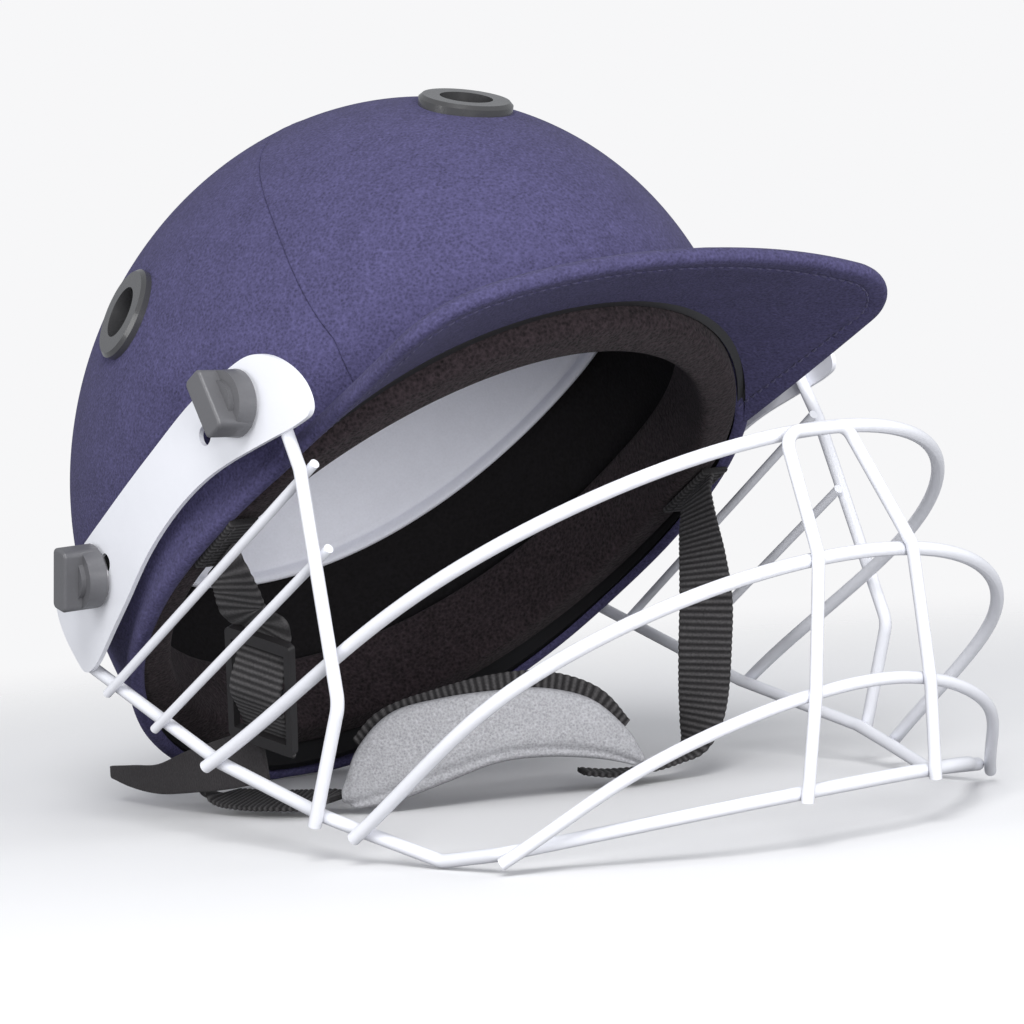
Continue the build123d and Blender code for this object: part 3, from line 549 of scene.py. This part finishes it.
def cloth_panel(name, node, ahead, rows):
    """One panel: a column from each place of the seam down to the rim and round its hem."""
    seam = seam_ways()
    first = math.atan2(seam[0].y, seam[0].x)
    last = math.atan2(seam[-1].y, seam[-1].x)
    sweep = last - first if ahead else -(2 * math.pi - (last - first))
    seam_end = seam_profile[-1]
    shares = seam_profile + [seam_end + (1 - seam_end) * (row + 1) / rows for row in range(rows)]
    places = []
    for index, way in enumerate(seam):
        angle = first + sweep * index / seam_steps
        foot = edge_way(angle, rim_height, 0.0, hem_lift)
        start = dome_place(way, 0)
        rim = dome_place(foot, 0)
        showing = min(max((rim.y - peak_side_end) / roll_fade, 0.0), 1.0)
        wander = math.sin(index * 1.9 + 0.7 * math.sin(index * 0.37))
        for share in shares:
            place = dome_place(between_ways(way, foot, share), 0)
            away = (place - start).length + seam_gap / 2
            sink = seam_sink * bump(away, 0, 0.5) - seam_ridge * bump(away, 2.2, 1.3)
            pucker = pucker_height * math.exp(-away / 4) * wander
            swell = showing * roll_bulge * bump((place - rim).length, 0, roll_reach)
            places.append(place - outward_at(place) * (sink + pucker - swell))
        flat_out = Vector((outward_at(rim).x, outward_at(rim).y, 0)).normalized()
        roll = roll_wave * math.sin(index * 0.31 + 1.1 * math.sin(index * 0.11))
        for out, drop in hem_profile:
            places.append(
                rim
                + flat_out * ((out + roll * max(out, 0)) * (showing if out > 0 else 1))
                - Vector((0, 0, (drop + roll) * showing))
            )
    columns = len(shares) + len(hem_profile)
    real = [part_place(place) for place in places]
    for place in real:
        place.z = max(place.z, table_clearance)
    faces = [
        face
        for face in grid_faces(len(seam), columns)
        if clear_of_vents(sum((real[corner] for corner in face), Vector()) / len(face))
    ]
    new_piece(name, mesh_of(name, real, faces), navy_cloth, [node])


cloth_panel("front_panel_cloth", "front_cover_panel", True, 60)
cloth_panel("rear_panel_cloth", "rear_cover_panel", False, 120)


# Peak cover: its outline, its arched middle surface, a folded edge and a stitched line under it
peak_half_width = 92.0
peak_front_bow = 11.0
peak_corner_radius = 26.0
peak_front_drop = 25.0
peak_front_arch = 9.0
peak_root_rise = 9.3
peak_root_arch = 37.5
peak_root_place = -50.0
peak_side_start = -64.0
section_overrun = 20.0
peak_half_thickness = 2.85
side_steps = 46
corner_steps = 24
bow_steps = 44
edge_steps = 12


def peak_outline():
    """Places (x, back) round the peak's edge from the right root to the left, each with its outward way."""
    bow_radius = (peak_half_width**2 + peak_front_bow**2) / (2 * peak_front_bow)
    bow_back = front_limit + bow_radius
    corner_x = -peak_half_width + peak_corner_radius
    corner_back = bow_back - math.sqrt((bow_radius - peak_corner_radius) ** 2 - corner_x**2)
    turn = math.atan2(corner_back - bow_back, corner_x)
    half = []
    for step in range(side_steps):
        back = peak_side_start + (corner_back - peak_side_start) * step / side_steps
        half.append(((-peak_half_width, back), (-1.0, 0.0)))
    for step in range(corner_steps):
        angle = math.pi + (turn + math.pi) * step / corner_steps
        x, back = math.cos(angle), math.sin(angle)
        half.append(((corner_x + peak_corner_radius * x, corner_back + peak_corner_radius * back), (x, back)))
    for step in range(bow_steps + 1):
        angle = turn + (-math.pi / 2 - turn) * step / bow_steps
        x, back = math.cos(angle), math.sin(angle)
        half.append(((bow_radius * x, bow_back + bow_radius * back), (x, back)))
    return half + [((-x, back), (-out, along)) for (x, back), (out, along) in reversed(half[:-1])]


def arc_of(share):
    """Half angle, radius and middle height of the peak's arched section."""
    half_width = peak_half_width + section_overrun
    arch = peak_front_arch + share * (peak_root_arch - peak_front_arch)
    arch *= (half_width / peak_half_width) ** 2
    radius = (half_width**2 + arch**2) / (2 * arch)
    middle = share * (peak_root_rise + peak_front_drop) - peak_front_drop
    return math.asin(half_width / radius), radius, middle


board_length = peak_root_place - front_limit
front_arc = arc_of(-section_overrun / board_length)
root_arc = arc_of(1 + section_overrun / board_length)


def peak_height(x, back):
    """Height of the board's middle surface: straight lines between the front and the root section."""
    share = (back - front_limit + section_overrun) / (board_length + 2 * section_overrun)
    t = x / (peak_half_width + section_overrun)
    for _ in range(6):
        reach = rate = 0.0
        for part, (angle, radius, middle) in ((1 - share, front_arc), (share, root_arc)):
            reach += part * radius * math.sin(angle * t)
            rate += part * radius * angle * math.cos(angle * t)
        t -= (reach - x) / rate
    ends = [middle - radius * (1 - math.cos(angle * t)) for angle, radius, middle in (front_arc, root_arc)]
    return (1 - share) * ends[0] + share * ends[1]


def inside_shell(x, back, up, inset=1.2):
    reach = skirt_reach(up, inset)
    return (x / narrowing) ** 2 + back**2 <= reach**2


peak_middle = Vector((0.0, -45.0))


def peak_run(edge, side):
    """The way inward from the edge, and how far along it the peak's face meets the shell."""
    inward = (peak_middle - Vector(edge)).normalized()
    low, high = 0.0, (peak_middle - Vector(edge)).length
    for _ in range(24):
        middle = (low + high) / 2
        place = Vector(edge) + inward * middle
        up = peak_height(place.x, place.y) + side * peak_half_thickness
        if inside_shell(place.x, place.y, up):
            high = middle
        else:
            low = middle
    return inward, low


stitch_inset = 6.6
under_rows = [2.9, 3.8, 4.8, 5.6, 6.1, 6.6, 7.1, 7.6, 8.6, 10.5, 13.0, 16.0]
top_rows = [2.9, 3.6, 4.4, 5.2, 6.2, 8.0, 10.5, 13.5, 17.0]
face_rows = 12
fold_rise = 0.25
fold_groove = 0.28
stitch_sink = 0.55
fold_ripple = 0.06
edge_outset = 0.15


def peak_cloth():
    """The peak's cover: top face, folded edge and underside, in a column at each place of the outline."""
    places, seat = [], []
    for index, (edge, way) in enumerate(peak_outline()):
        ripple = fold_ripple * math.sin(index * 0.9 + 0.5 * math.sin(index * 0.23))
        column = []
        for side, rows in ((1, top_rows), (-1, under_rows)):
            inward, run = peak_run(edge, side)
            square = -(inward.x * way[0] + inward.y * way[1])
            steps = [min(row / max(square, 0.3), run) for row in rows]
            steps += [steps[-1] + (run - steps[-1]) * (step + 1) / face_rows for step in range(face_rows)]
            face = []
            for step in steps:
                spot = Vector(edge) + inward * step
                inset = step * square
                lift = peak_half_thickness + ripple * bump(inset, 6.0, 5.0)
                if side > 0:
                    lift += fold_rise * bump(inset, 3.0, 1.6) - fold_groove * bump(inset, 5.2, 0.8)
                else:
                    lift -= stitch_sink * bump(inset, stitch_inset, 0.5)
                face.append(Vector((spot.x, spot.y, peak_height(spot.x, spot.y) + side * lift)))
            column.append(face)
        rolled = []
        for step in range(1, edge_steps):
            angle = math.pi / 2 - math.pi * step / edge_steps
            out = peak_half_thickness * (math.cos(angle) - 1)
            spot = Vector(edge) + Vector(way) * (out + edge_outset)
            up = peak_height(spot.x, spot.y) + peak_half_thickness * math.sin(angle)
            rolled.append(Vector((spot.x, spot.y, up)))
        places.append(list(reversed(column[0])) + rolled + column[1])
        seat.append(Vector(edge) - Vector(way) * stitch_inset)
    flat = [part_place(place) for column in places for place in column]
    faces = grid_faces(len(places), len(places[0]))
    new_piece("peak_cloth", mesh_of("peak_cloth", flat, faces), navy_cloth, ["peak_cover"])
    return seat


def stitch_mesh(name, line, length, gap, radius, out):
    """A row of short threads along a line; out gives the way off the cloth at each place."""
    places, faces, start = [], [], 0.0
    runs = runs_along(line)
    rings, sides = 6, 6

    def at(run):
        index = 0
        while index < len(line) - 2 and runs[index + 1] < run:
            index += 1
        share = (run - runs[index]) / (runs[index + 1] - runs[index])
        return line[index].lerp(line[index + 1], share), out[index].lerp(out[index + 1], share).normalized()

    while start + length < runs[-1]:
        base = len(places)
        head, off = at(start)
        tail = at(start + length)[0]
        across = (tail - head).normalized().cross(off).normalized()
        for ring in range(rings + 1):
            share = ring / rings
            middle, off = at(start + length * share)
            swell = radius * math.sqrt(max(1 - (2 * share - 1) ** 4, 0.02))
            rise = radius * 1.1 * math.sin(math.pi * share) - radius * 0.4
            for side in range(sides):
                angle = 2 * math.pi * side / sides
                round_way = across * math.cos(angle) + off * math.sin(angle)
                places.append(middle + off * rise + round_way * swell)
        for ring in range(rings):
            for side in range(sides):
                following = (side + 1) % sides
                faces.append(
                    (base + ring * sides + side, base + ring * sides + following,
                     base + (ring + 1) * sides + following, base + (ring + 1) * sides + side)
                )
        start += length + gap
    return mesh_of(name, places, faces)


worn_down = (from_worn(0, 0, -1) - from_worn(0, 0, 0)).normalized()
stitch_seat = peak_cloth()
stitch_depth = peak_half_thickness - 0.35
under_line = [from_worn(spot.x, spot.y, peak_height(spot.x, spot.y) - stitch_depth) for spot in stitch_seat]
under_ways = [worn_down] * len(under_line)
new_piece(
    "peak_stitches",
    stitch_mesh("peak_stitches", under_line, 3.0 * mm, 0.9 * mm, 0.32 * mm, under_ways),
    navy_thread,
)

# Inside of the crown: foam up to the liner, and the liner's sheet with a turned edge and soft creases
foam_tuck_low = 6.0
foam_tuck_high = 10.0
foam_dent = 0.5
liner_hem = [
    (-0.6, 3.6), (0.0, 2.6), (0.6, 1.4), (1.1, 0.4), (1.1, -0.8), (0.6, -1.6), (-0.4, -2.0), (-2.0, -1.6)
]
liner_crease = 0.9
liner_wave = 0.35


def foam_wall():
    """The foam's inner face, from behind the band to behind the liner's edge."""
    columns, rows = 180, 14
    places = []
    for column in range(columns):
        angle = 2 * math.pi * column / columns
        low = edge_way(angle, band_bottom, foam_outset, band_height - foam_tuck_low)
        high = edge_way(angle, liner_edge, foam_outset, foam_tuck_high)
        for row in range(rows):
            way = between_ways(low, high, row / (rows - 1))
            dent = foam_dent * math.sin(angle * 9) * math.sin(row * 0.9)
            places.append(part_place(dome_place(way, foam_outset + dent)))
    return mesh_of("foam_wall", places, grid_faces(columns, rows, closed_rows=True))


new_piece("foam_wall", foam_wall(), black_foam, ["foam_lining"])


def crown_sheet():
    """The liner's sheet: a turned edge, two soft creases and a faint wave up to the top."""
    columns, rows = 220, 60
    places = []
    for column in range(columns):
        angle = 2 * math.pi * column / columns
        foot = edge_way(angle, liner_edge, liner_outset)
        edge = dome_place(foot, liner_outset)
        out = outward_at(edge)
        for inward, up in reversed(liner_hem):
            places.append(edge - out * inward + Vector((0, 0, up)))
        top = Vector((0, 0, 1))
        for row in range(1, rows + 1):
            share = row / rows
            way = between_ways(foot, top, 0.02 + 0.98 * share)
            line = bump(math.sin(angle - 2.2 + 0.9 * share), 0, 0.10)
            crease = liner_crease * line * (1 - share) * share * 2
            wave = liner_wave * math.sin(angle * 7 + 2.5 * share) * math.sin(math.pi * share)
            places.append(dome_place(way, liner_outset + crease + wave))
    faces = grid_faces(columns, len(liner_hem) + rows, closed_rows=True)
    return mesh_of("crown_sheet", [part_place(place) for place in places], faces)


new_piece("crown_sheet", crown_sheet(), liner_cloth, ["crown_liner"])


# Padded pieces: a closed form, blown up a little by a cloth simulation that keeps its seat, then smoothed
def inflate(thing, seats, pressure, cap, frames=20):
    """seats holds a hold from 0 to 1 for each point; no point moves further than cap."""
    rest = [vertex.co.copy() for vertex in thing.data.vertices]
    held = thing.vertex_groups.new(name="seat")
    for index, hold in enumerate(seats):
        held.add([index], hold, "REPLACE")
    cloth_step = thing.modifiers.new("cloth", "CLOTH")
    settings = cloth_step.settings
    settings.quality = 6
    settings.mass = 0.25
    settings.tension_stiffness = 12
    settings.compression_stiffness = 12
    settings.bending_stiffness = 1.2
    settings.use_pressure = True
    settings.uniform_pressure_force = pressure
    settings.vertex_group_mass = "seat"
    settings.pin_stiffness = 4
    settings.effector_weights.gravity = 0
    cloth_step.collision_settings.use_collision = False
    cloth_step.point_cache.frame_start = 1
    cloth_step.point_cache.frame_end = frames
    for step in range(1, frames + 1):
        scene.frame_set(step)
    shaped = thing.evaluated_get(bpy.context.evaluated_depsgraph_get())
    swollen = [vertex.co.copy() for vertex in shaped.data.vertices]
    thing.modifiers.remove(cloth_step)
    thing.vertex_groups.clear()
    scene.frame_set(1)
    for vertex, before, after in zip(thing.data.vertices, rest, swollen):
        shift = after - before
        if shift.length > cap:
            shift *= cap / shift.length
        vertex.co = before + shift
    smooth = thing.modifiers.new("smooth", "SUBSURF")
    smooth.levels = 1
    smooth.render_levels = 1


def closed_form(name, sections, finish, replaced, close_path):
    """A closed grid through sections of places; its ends are capped where the path doesn't close."""
    rows, columns = len(sections), len(sections[0])
    faces = grid_faces(rows, columns, closed_rows=close_path, closed_columns=True)
    places = [place for section in sections for place in section]
    if not close_path:
        faces.append(tuple(range(columns - 1, -1, -1)))
        faces.append(tuple((rows - 1) * columns + index for index in range(columns)))
    return new_piece(name, mesh_of(name, places, faces, weld=False), finish, replaced)


# The band's section: depth from the wall and rise from its bottom as shares, and its hold in the seat
band_profile = [
    (0.0, 0.10, 1.0), (0.0, 0.35, 1.0), (0.0, 0.65, 1.0), (0.0, 0.90, 0.8), (0.03, 0.97, 0.3),
    (0.12, 1.0, 0.15), (0.35, 1.0, 0.1), (0.62, 1.0, 0.1), (0.88, 1.0, 0.2), (0.97, 0.97, 0.3),
    (1.0, 0.88, 0.2), (1.0, 0.70, 0.1), (1.0, 0.50, 0.1), (1.0, 0.30, 0.1), (1.0, 0.14, 0.15),
    (0.95, 0.05, 0.3), (0.84, 0.0, 0.3), (0.62, 0.0, 0.15), (0.38, 0.0, 0.15), (0.18, 0.0, 0.3),
    (0.05, 0.03, 0.6),
]
band_wall_gap = 0.4
band_swell_room = 0.8
band_end_room = 0.5
pad_pressure = 3.0


def rim_pad():
    """The felt band: seated on the shell's wall, free inside and below."""
    columns = 176
    outer, inner = wall_outset + band_wall_gap, band_outset - band_swell_room
    rise_span = band_height - 2 * band_end_room
    sections, seats = [], []
    for column in range(columns):
        angle = 2 * math.pi * column / columns
        section = []
        for depth, rise, hold in band_profile:
            inset = outer + (inner - outer) * depth
            way = edge_way(angle, band_bottom, inset, band_end_room + rise_span * rise)
            section.append(part_place(dome_place(way, inset)))
            seats.append(hold)
        sections.append(section)
    pad = closed_form("rim_pad", sections, band_felt, ["rim_band"], True)
    inflate(pad, seats, pad_pressure, 1.6 * mm)


rim_pad()

# The cup's stations: place, height and share of its thickness
cup_stations = [
    ((-48.5, 29.5, 6.0), 8.0, 0.55),
    ((-43.5, 23.5, 12.5), 22.0, 0.85),
    ((-35.0, 16.5, 18.0), 30.0, 1),
    ((-22.0, 7.0, 22.0), 28.5, 1),
    ((-8.0, -2.5, 25.0), 24.5, 1),
    ((6.0, -10.5, 25.0), 23.5, 1),
    ((20.0, -17.5, 21.5), 20.5, 1),
    ((30.0, -21.5, 15.0), 13.0, 0.8),
    ((36.0, -23.5, 9.0), 6.0, 0.5),
]
cup_thickness = 9.0
cup_seam_share = -0.36
cup_seam_sink = 1.1
cup_corner_power = 0.75
cup_height_share = 0.97
cup_depth_share = 0.9
cup_end_share = 0.55
cup_end_rate = 6.0
cup_seat_hold = 0.9
cup_free_hold = 0.12


def level_way(index):
    before = Vector(cup_stations[max(index - 1, 0)][0])
    after = Vector(cup_stations[min(index + 1, len(cup_stations) - 1)][0])
    return Vector((after.x - before.x, after.y - before.y, 0)).normalized()


def chin_pad():
    """The cup: a crowned pad with its seam line sunk near the lower edge."""
    spots = [Vector(spot) for spot, height, share in cup_stations]
    ways = [level_way(index) for index in range(len(cup_stations))]
    sizes = [Vector((height, cup_thickness * share, 0)) for spot, height, share in cup_stations]
    rows, points = 64, 36
    sections, seats = [], []
    for row in range(rows + 1):
        share = row / rows
        spot, way, size = (blend_between(values, share) for values in (spots, ways, sizes))
        front = Vector((way.y, -way.x, 0)).normalized()
        taper = min(1.0, cup_end_share + cup_end_rate * min(share, 1 - share))
        section = []
        for point in range(points):
            across, rise = squared_round(2 * math.pi * point / points, cup_corner_power)
            high = rise * size.x / 2 * cup_height_share * taper
            deep = across * size.y / 2 * cup_depth_share * taper
            sunk = cup_seam_sink * bump(high, cup_seam_share * size.x, 0.9) if deep > 0 else 0.0
            section.append((spot + front * (deep - sunk * min(1.0, deep)) + Vector((0, 0, high))) * mm)
            seats.append(cup_seat_hold if sunk > 0.3 or deep < 0 else cup_free_hold)
        sections.append(section)
    pad = closed_form("chin_pad", sections, cup_cloth, ["chin_cup"], False)
    inflate(pad, seats, pad_pressure, 1.5 * mm)


chin_pad()

# Straps as real bands: a soft-cornered section drawn along a smooth path, with ribs or a weave
strap_width = 20.0
strap_thickness = 1.8
elastic_width = 18.0
elastic_thickness = 2.0
rib_pitch = 2.2
elastic_rib_share = 0.5
weave_pitch = 1.6
band_corner_power = 0.35
ring_spacing = 0.45
path_steps = 400


def band_section(width, thickness, steps):
    corners = [squared_round(2 * math.pi * step / steps, band_corner_power) for step in range(steps)]
    return [(across * width / 2, out * thickness / 2) for across, out in corners]


def band_piece(name, stations, width, thickness, finish, node, pitch=0.0, rib_share=0.0, weave=0.0):
    """stations hold a place in millimetres, the way across, and a width share."""
    places = [Vector(spot) for spot, across, share in stations]
    ways = []
    for index, (spot, across, share) in enumerate(stations):
        forward = (places[min(index + 1, len(places) - 1)] - places[max(index - 1, 0)]).normalized()
        wide = Vector(across) - forward * Vector(across).dot(forward)
        ways.append(wide.normalized())
    shares = [Vector((share, 0, 0)) for spot, across, share in stations]
    runs = runs_along([blend_between(places, index / path_steps) for index in range(path_steps + 1)])
    rings = max(int(runs[-1] / ring_spacing), 8)
    sections, crests, cursor, points, glance = [], [], 0, 24, 0.004
    for ring in range(rings + 1):
        reach = runs[-1] * ring / rings
        while cursor < path_steps - 1 and runs[cursor + 1] < reach:
            cursor += 1
        share = (cursor + (reach - runs[cursor]) / (runs[cursor + 1] - runs[cursor])) / path_steps
        spot = blend_between(places, share)
        ahead, behind = min(share + glance, 1), max(share - glance, 0)
        forward = (blend_between(places, ahead) - blend_between(places, behind)).normalized()
        across = blend_between(ways, share)
        across = (across - forward * across.dot(forward)).normalized()
        out = forward.cross(across)
        wide = width * blend_between(shares, share).x
        thick = thickness
        wave = 0.5
        if pitch:
            wave = abs(math.sin(math.pi * reach / pitch))
            thick *= 1 - rib_share + rib_share * wave**0.7
            wide *= 1 - 0.03 * (1 - wave)
        crests += [wave] * points
        turns = 2 * math.pi / weave_pitch
        section = []
        for u, v in band_section(wide, thick, points):
            v *= 1 + weave * math.sin(u * turns) * math.sin(reach * turns)
            section.append((spot + across * u + out * v) * mm)
        sections.append(section)
    band = closed_form(name, sections, finish, [node], False)
    band.data.attributes.new("rib", "FLOAT", "POINT").data.foreach_set("value", crests)


def elastic_piece(name, stations, node):
    band_piece(name, stations, elastic_width, elastic_thickness, elastic, node, rib_pitch, elastic_rib_share)


far_strap_stations = [
    ((90.0, 3.5, 94.5), (0, -0.87, 0.49), 0.8),
    ((84.0, -1.5, 91.5), (0.25, -0.88, 0.40), 0.72),
    ((78.0, -8.5, 83.0), (0.45, -0.86, 0.15), 0.78),
    ((72.0, -17.0, 71.0), (0.70, -0.71, 0), 0.9),
    ((68.0, -22.0, 58.0), (0.81, -0.58, 0), 1),
    ((66.0, -22.0, 42.0), (0.81, -0.58, 0), 1),
    ((66.0, -19.5, 28.0), (0.72, -0.69, 0), 0.95),
    ((65.0, -18.0, 18.0), (0.50, -0.86, 0.05), 0.86),
    ((62.0, -17.0, 10.5), (0.15, -0.98, 0.10), 0.8),
    ((56.0, -14.5, 6.2), (-0.15, -0.98, 0.10), 0.8),
    ((46.0, -11.0, 4.2), (-0.35, -0.93, 0.05), 0.85),
    ((35.0, -6.0, 4.0), (-0.40, -0.91, 0), 0.85),
    ((26.0, -1.5, 5.6), (-0.40, -0.91, 0), 0.8),
]
elastic_piece("far_strap_ribbed", far_strap_stations, "left_strap")

lower_stations = [
    ((-69.8, 86.0, 19.0), (0, 1, 0), 0.9),
    ((-69.3, 86.0, 12.0), (0.05, 1, 0), 0.9),
    ((-66.0, 83.4, 6.8), (0.08, 0.99, 0), 0.85),
    ((-64.0, 77.3, 5.2), (0.36, 0.90, 0.20), 0.75),
    ((-61.5, 65.0, 4.5), (0.75, 0.62, 0.22), 0.85),
    ((-57.0, 51.0, 4.5), (0.88, 0.40, 0.24), 0.9),
    ((-52.5, 42.0, 4.6), (0.84, 0.48, 0.24), 0.9),
    ((-50.3, 36.5, 5.0), (0.81, 0.56, 0.20), 0.8),
    ((-48.9, 30.0, 5.8), (0.77, 0.64, 0), 0.5),
]
elastic_piece("lower_elastic_ribbed", lower_stations, "lower_elastic")

# The cup's elastic lies along the back of the cup's stations
back_stations = []
back_lifts = (6.0, 7.0, 7.5, 7.5, 7.5, 6.5, 3.5)
back_widths = (0.75, 1, 1, 1, 1, 0.85, 0.6)
for index, (lift, wide) in enumerate(zip(back_lifts, back_widths), start=1):
    spot, height, share = cup_stations[index]
    way = level_way(index)
    away = Vector((-way.y, way.x, 0)) * (cup_thickness * share / 2 + 0.5 + elastic_thickness / 2)
    back_stations.append((tuple(Vector(spot) + away + Vector((0, 0, lift))), (0, 0, 1), wide))
elastic_piece("cup_elastic_ribbed", back_stations, "cup_elastic")

upright_way = (0, 0.25, 0.97)
tab_stations = [
    ((-72.4, 36.8, 22.9), upright_way, 0.90),
    ((-72.6, 60.0, 18.5), upright_way, 0.85),
    ((-72.5, 84.0, 14.5), upright_way, 0.72),
    ((-72.0, 107.0, 10.5), upright_way, 0.52),
    ((-71.0, 128.0, 10.0), upright_way, 0.40),
    ((-70.0, 145.0, 10.5), upright_way, 0.22),
]
band_piece("strap_tab_woven", tab_stations, strap_width, strap_thickness, tab_cloth, "strap_tab", weave=0.10)

# Near strap: through the buckle, over its middle bar and behind its outer ones
buckle_middle = Vector((-80, 22, 45))
buckle_across = Vector((0.35, -0.89, -0.29)).normalized()
buckle_out = Vector((-0.92, -0.27, -0.28))
buckle_out = (buckle_out - buckle_across * buckle_out.dot(buckle_across)).normalized()
buckle_up = buckle_out.cross(buckle_across)
hang_way = (from_worn(0, -1, 0) - from_worn(0, 0, 0)).normalized()
near_stations = [
    ((-94.0, 16.5, 88.5), hang_way, 1),
    ((-93.2, 14.2, 84.3), hang_way, 1),
    ((-90.5, 14.5, 78.0), (0.12, -0.93, 0.20), 1),
    ((-87.0, 16.0, 71.0), (0.25, -0.95, 0.10), 1),
]
for up, out in ((23.4, -3.5), (18, -3.5), (9, 0), (0, 3.5), (-9, 0), (-18, -3.5), (-23.4, -3.5)):
    near_stations.append((tuple(buckle_middle + buckle_up * up + buckle_out * out), buckle_across, 1))
near_rib_share = 0.35
near_sizes = (strap_width, strap_thickness)
band_piece("near_strap_ribbed", near_stations, *near_sizes, webbing, "right_strap", rib_pitch, near_rib_share)

# Strap patches under the band: short webbing sewn on with two rows of thread
patch_side = 94.2
patch_place = -26.0
patch_half_length = 14.0
patch_up = -31.2
patch_width = 10.5
patch_thickness = 2.2
sewn_half_length = 12.5
sewn_up = -32.4
sewn_side = 3.2
for hand, sign in (("right", -1), ("left", 1)):
    side = patch_side * sign
    backs = [patch_place + patch_half_length * share for share in (-1, -0.5, 0, 0.5, 1)]
    stations = [(tuple(from_worn(side, back, patch_up) / mm), (1, 0, 0), 1) for back in backs]
    name = f"{hand}_patch_webbing"
    band_piece(name, stations, patch_width, patch_thickness, webbing, f"{hand}_strap_patch", 2.0, 0.3)
    for row, shift in enumerate((-sewn_side, sewn_side), start=1):
        name = f"{hand}_patch_stitches_{row}"
        backs = [patch_place + sewn_half_length * step / 20 for step in range(-20, 21)]
        line = [from_worn(side + shift, back, sewn_up) for back in backs]
        ways = [worn_down] * len(line)
        new_piece(name, stitch_mesh(name, line, 2.4 * mm, 0.8 * mm, 0.28 * mm, ways), dark_thread)

# Camera, solved from the photograph: place and turn in the part's frame, 112.5 mm lens on a 36 mm sensor
camera_data = bpy.data.cameras.new("camera")
camera_data.lens = 112.5
camera_data.sensor_width = 36
camera_data.clip_start = 0.05
camera = bpy.data.objects.new("camera", camera_data)
scene.collection.objects.link(camera)
camera_right = Vector((0.809, -0.5823, -0.0803))
camera_down = Vector((-0.0919, 0.0095, -0.9957))
camera_ahead = Vector((0.5805, 0.8129, -0.0458))
camera_place = Vector((-600.9, -851.9, 141.7)) * mm
turn = Matrix((camera_right, -camera_down, -camera_ahead)).transposed()
camera.matrix_world = Matrix.Translation(camera_place) @ turn.to_4x4()
scene.camera = camera
scene.view_settings.view_transform = "Standard"

# Pale floor, pale surround and soft studio lights
floor_mesh = bpy.data.meshes.new("floor")
floor_form = bmesh.new()
bmesh.ops.create_grid(floor_form, x_segments=2, y_segments=2, size=6)
floor_form.to_mesh(floor_mesh)
floor_form.free()
floor = bpy.data.objects.new("floor", floor_mesh)
floor.location.z = -0.4 * mm
scene.collection.objects.link(floor)


def floor_paper():
    """Matt paper that fades into the pale surround; the light that it throws back is soft."""
    made, tree, shader = new_material("floor_paper", Roughness=0.9, Specular_IOR_Level=0.1)
    path = shader_node(tree, "ShaderNodeLightPath")
    tone = shader_node(tree, "ShaderNodeMix", settings={"data_type": "RGBA"})
    tone.inputs["A"].default_value = (0.30, 0.30, 0.31, 1)
    tone.inputs["B"].default_value = (0.88, 0.88, 0.89, 1)
    tree.links.new(path.outputs["Is Camera Ray"], tone.inputs["Factor"])
    tree.links.new(tone.outputs["Result"], shader.inputs["Base Color"])
    place = shader_node(tree, "ShaderNodeTexCoord").outputs["Object"]
    away = shader_node(tree, "ShaderNodeVectorMath", settings={"operation": "LENGTH"})
    tree.links.new(place, away.inputs[0])
    fade = shader_node(
        tree, "ShaderNodeMapRange", settings={"interpolation_type": "SMOOTHSTEP"},
        Value=away.outputs["Value"], From_Min=0.26, From_Max=0.75, To_Min=1.0, To_Max=0.0,
    )
    tree.links.new(fade.outputs["Result"], shader.inputs["Alpha"])
    return made


floor.data.materials.append(floor_paper())

world = bpy.data.worlds.new("studio")
scene.world = world
world.use_nodes = True
world_tree = world.node_tree
ambient = world_tree.nodes["Background"]
ambient.inputs["Color"].default_value = (0.86, 0.88, 0.92, 1)
ambient.inputs["Strength"].default_value = 0.50
backdrop = shader_node(world_tree, "ShaderNodeBackground", Color=(0.93, 0.93, 0.94, 1), Strength=1.0)
light_path = shader_node(world_tree, "ShaderNodeLightPath")
straight, through = (light_path.outputs[f"Is {ray} Ray"] for ray in ("Camera", "Transmission"))
seen = maths(world_tree, "MAXIMUM", straight, through)
choose = world_tree.nodes.new("ShaderNodeMixShader")
world_tree.links.new(seen, choose.inputs["Fac"])
world_tree.links.new(ambient.outputs["Background"], choose.inputs[1])
world_tree.links.new(backdrop.outputs["Background"], choose.inputs[2])
world_tree.links.new(choose.outputs["Shader"], world_tree.nodes["World Output"].inputs["Surface"])


def studio_light(name, place, size, power):
    """A round soft light that looks at the middle of the helmet."""
    data = bpy.data.lights.new(name, "AREA")
    data.shape = "DISK"
    data.size = size
    data.energy = power
    light = bpy.data.objects.new(name, data)
    scene.collection.objects.link(light)
    light.location = place
    light.rotation_euler = (helmet_middle - Vector(place)).to_track_quat("-Z", "Y").to_euler()


helmet_middle = Vector((0, 0, 0.1))
studio_light("key", (-0.9, -1.1, 1.5), 1.0, 24)
studio_light("fill", (1.2, -1.3, 0.8), 1.2, 8)
studio_light("front", (-0.55, -1.5, 0.22), 0.6, 15)
studio_light("side", (-1.6, 0.1, 0.5), 1.1, 8)
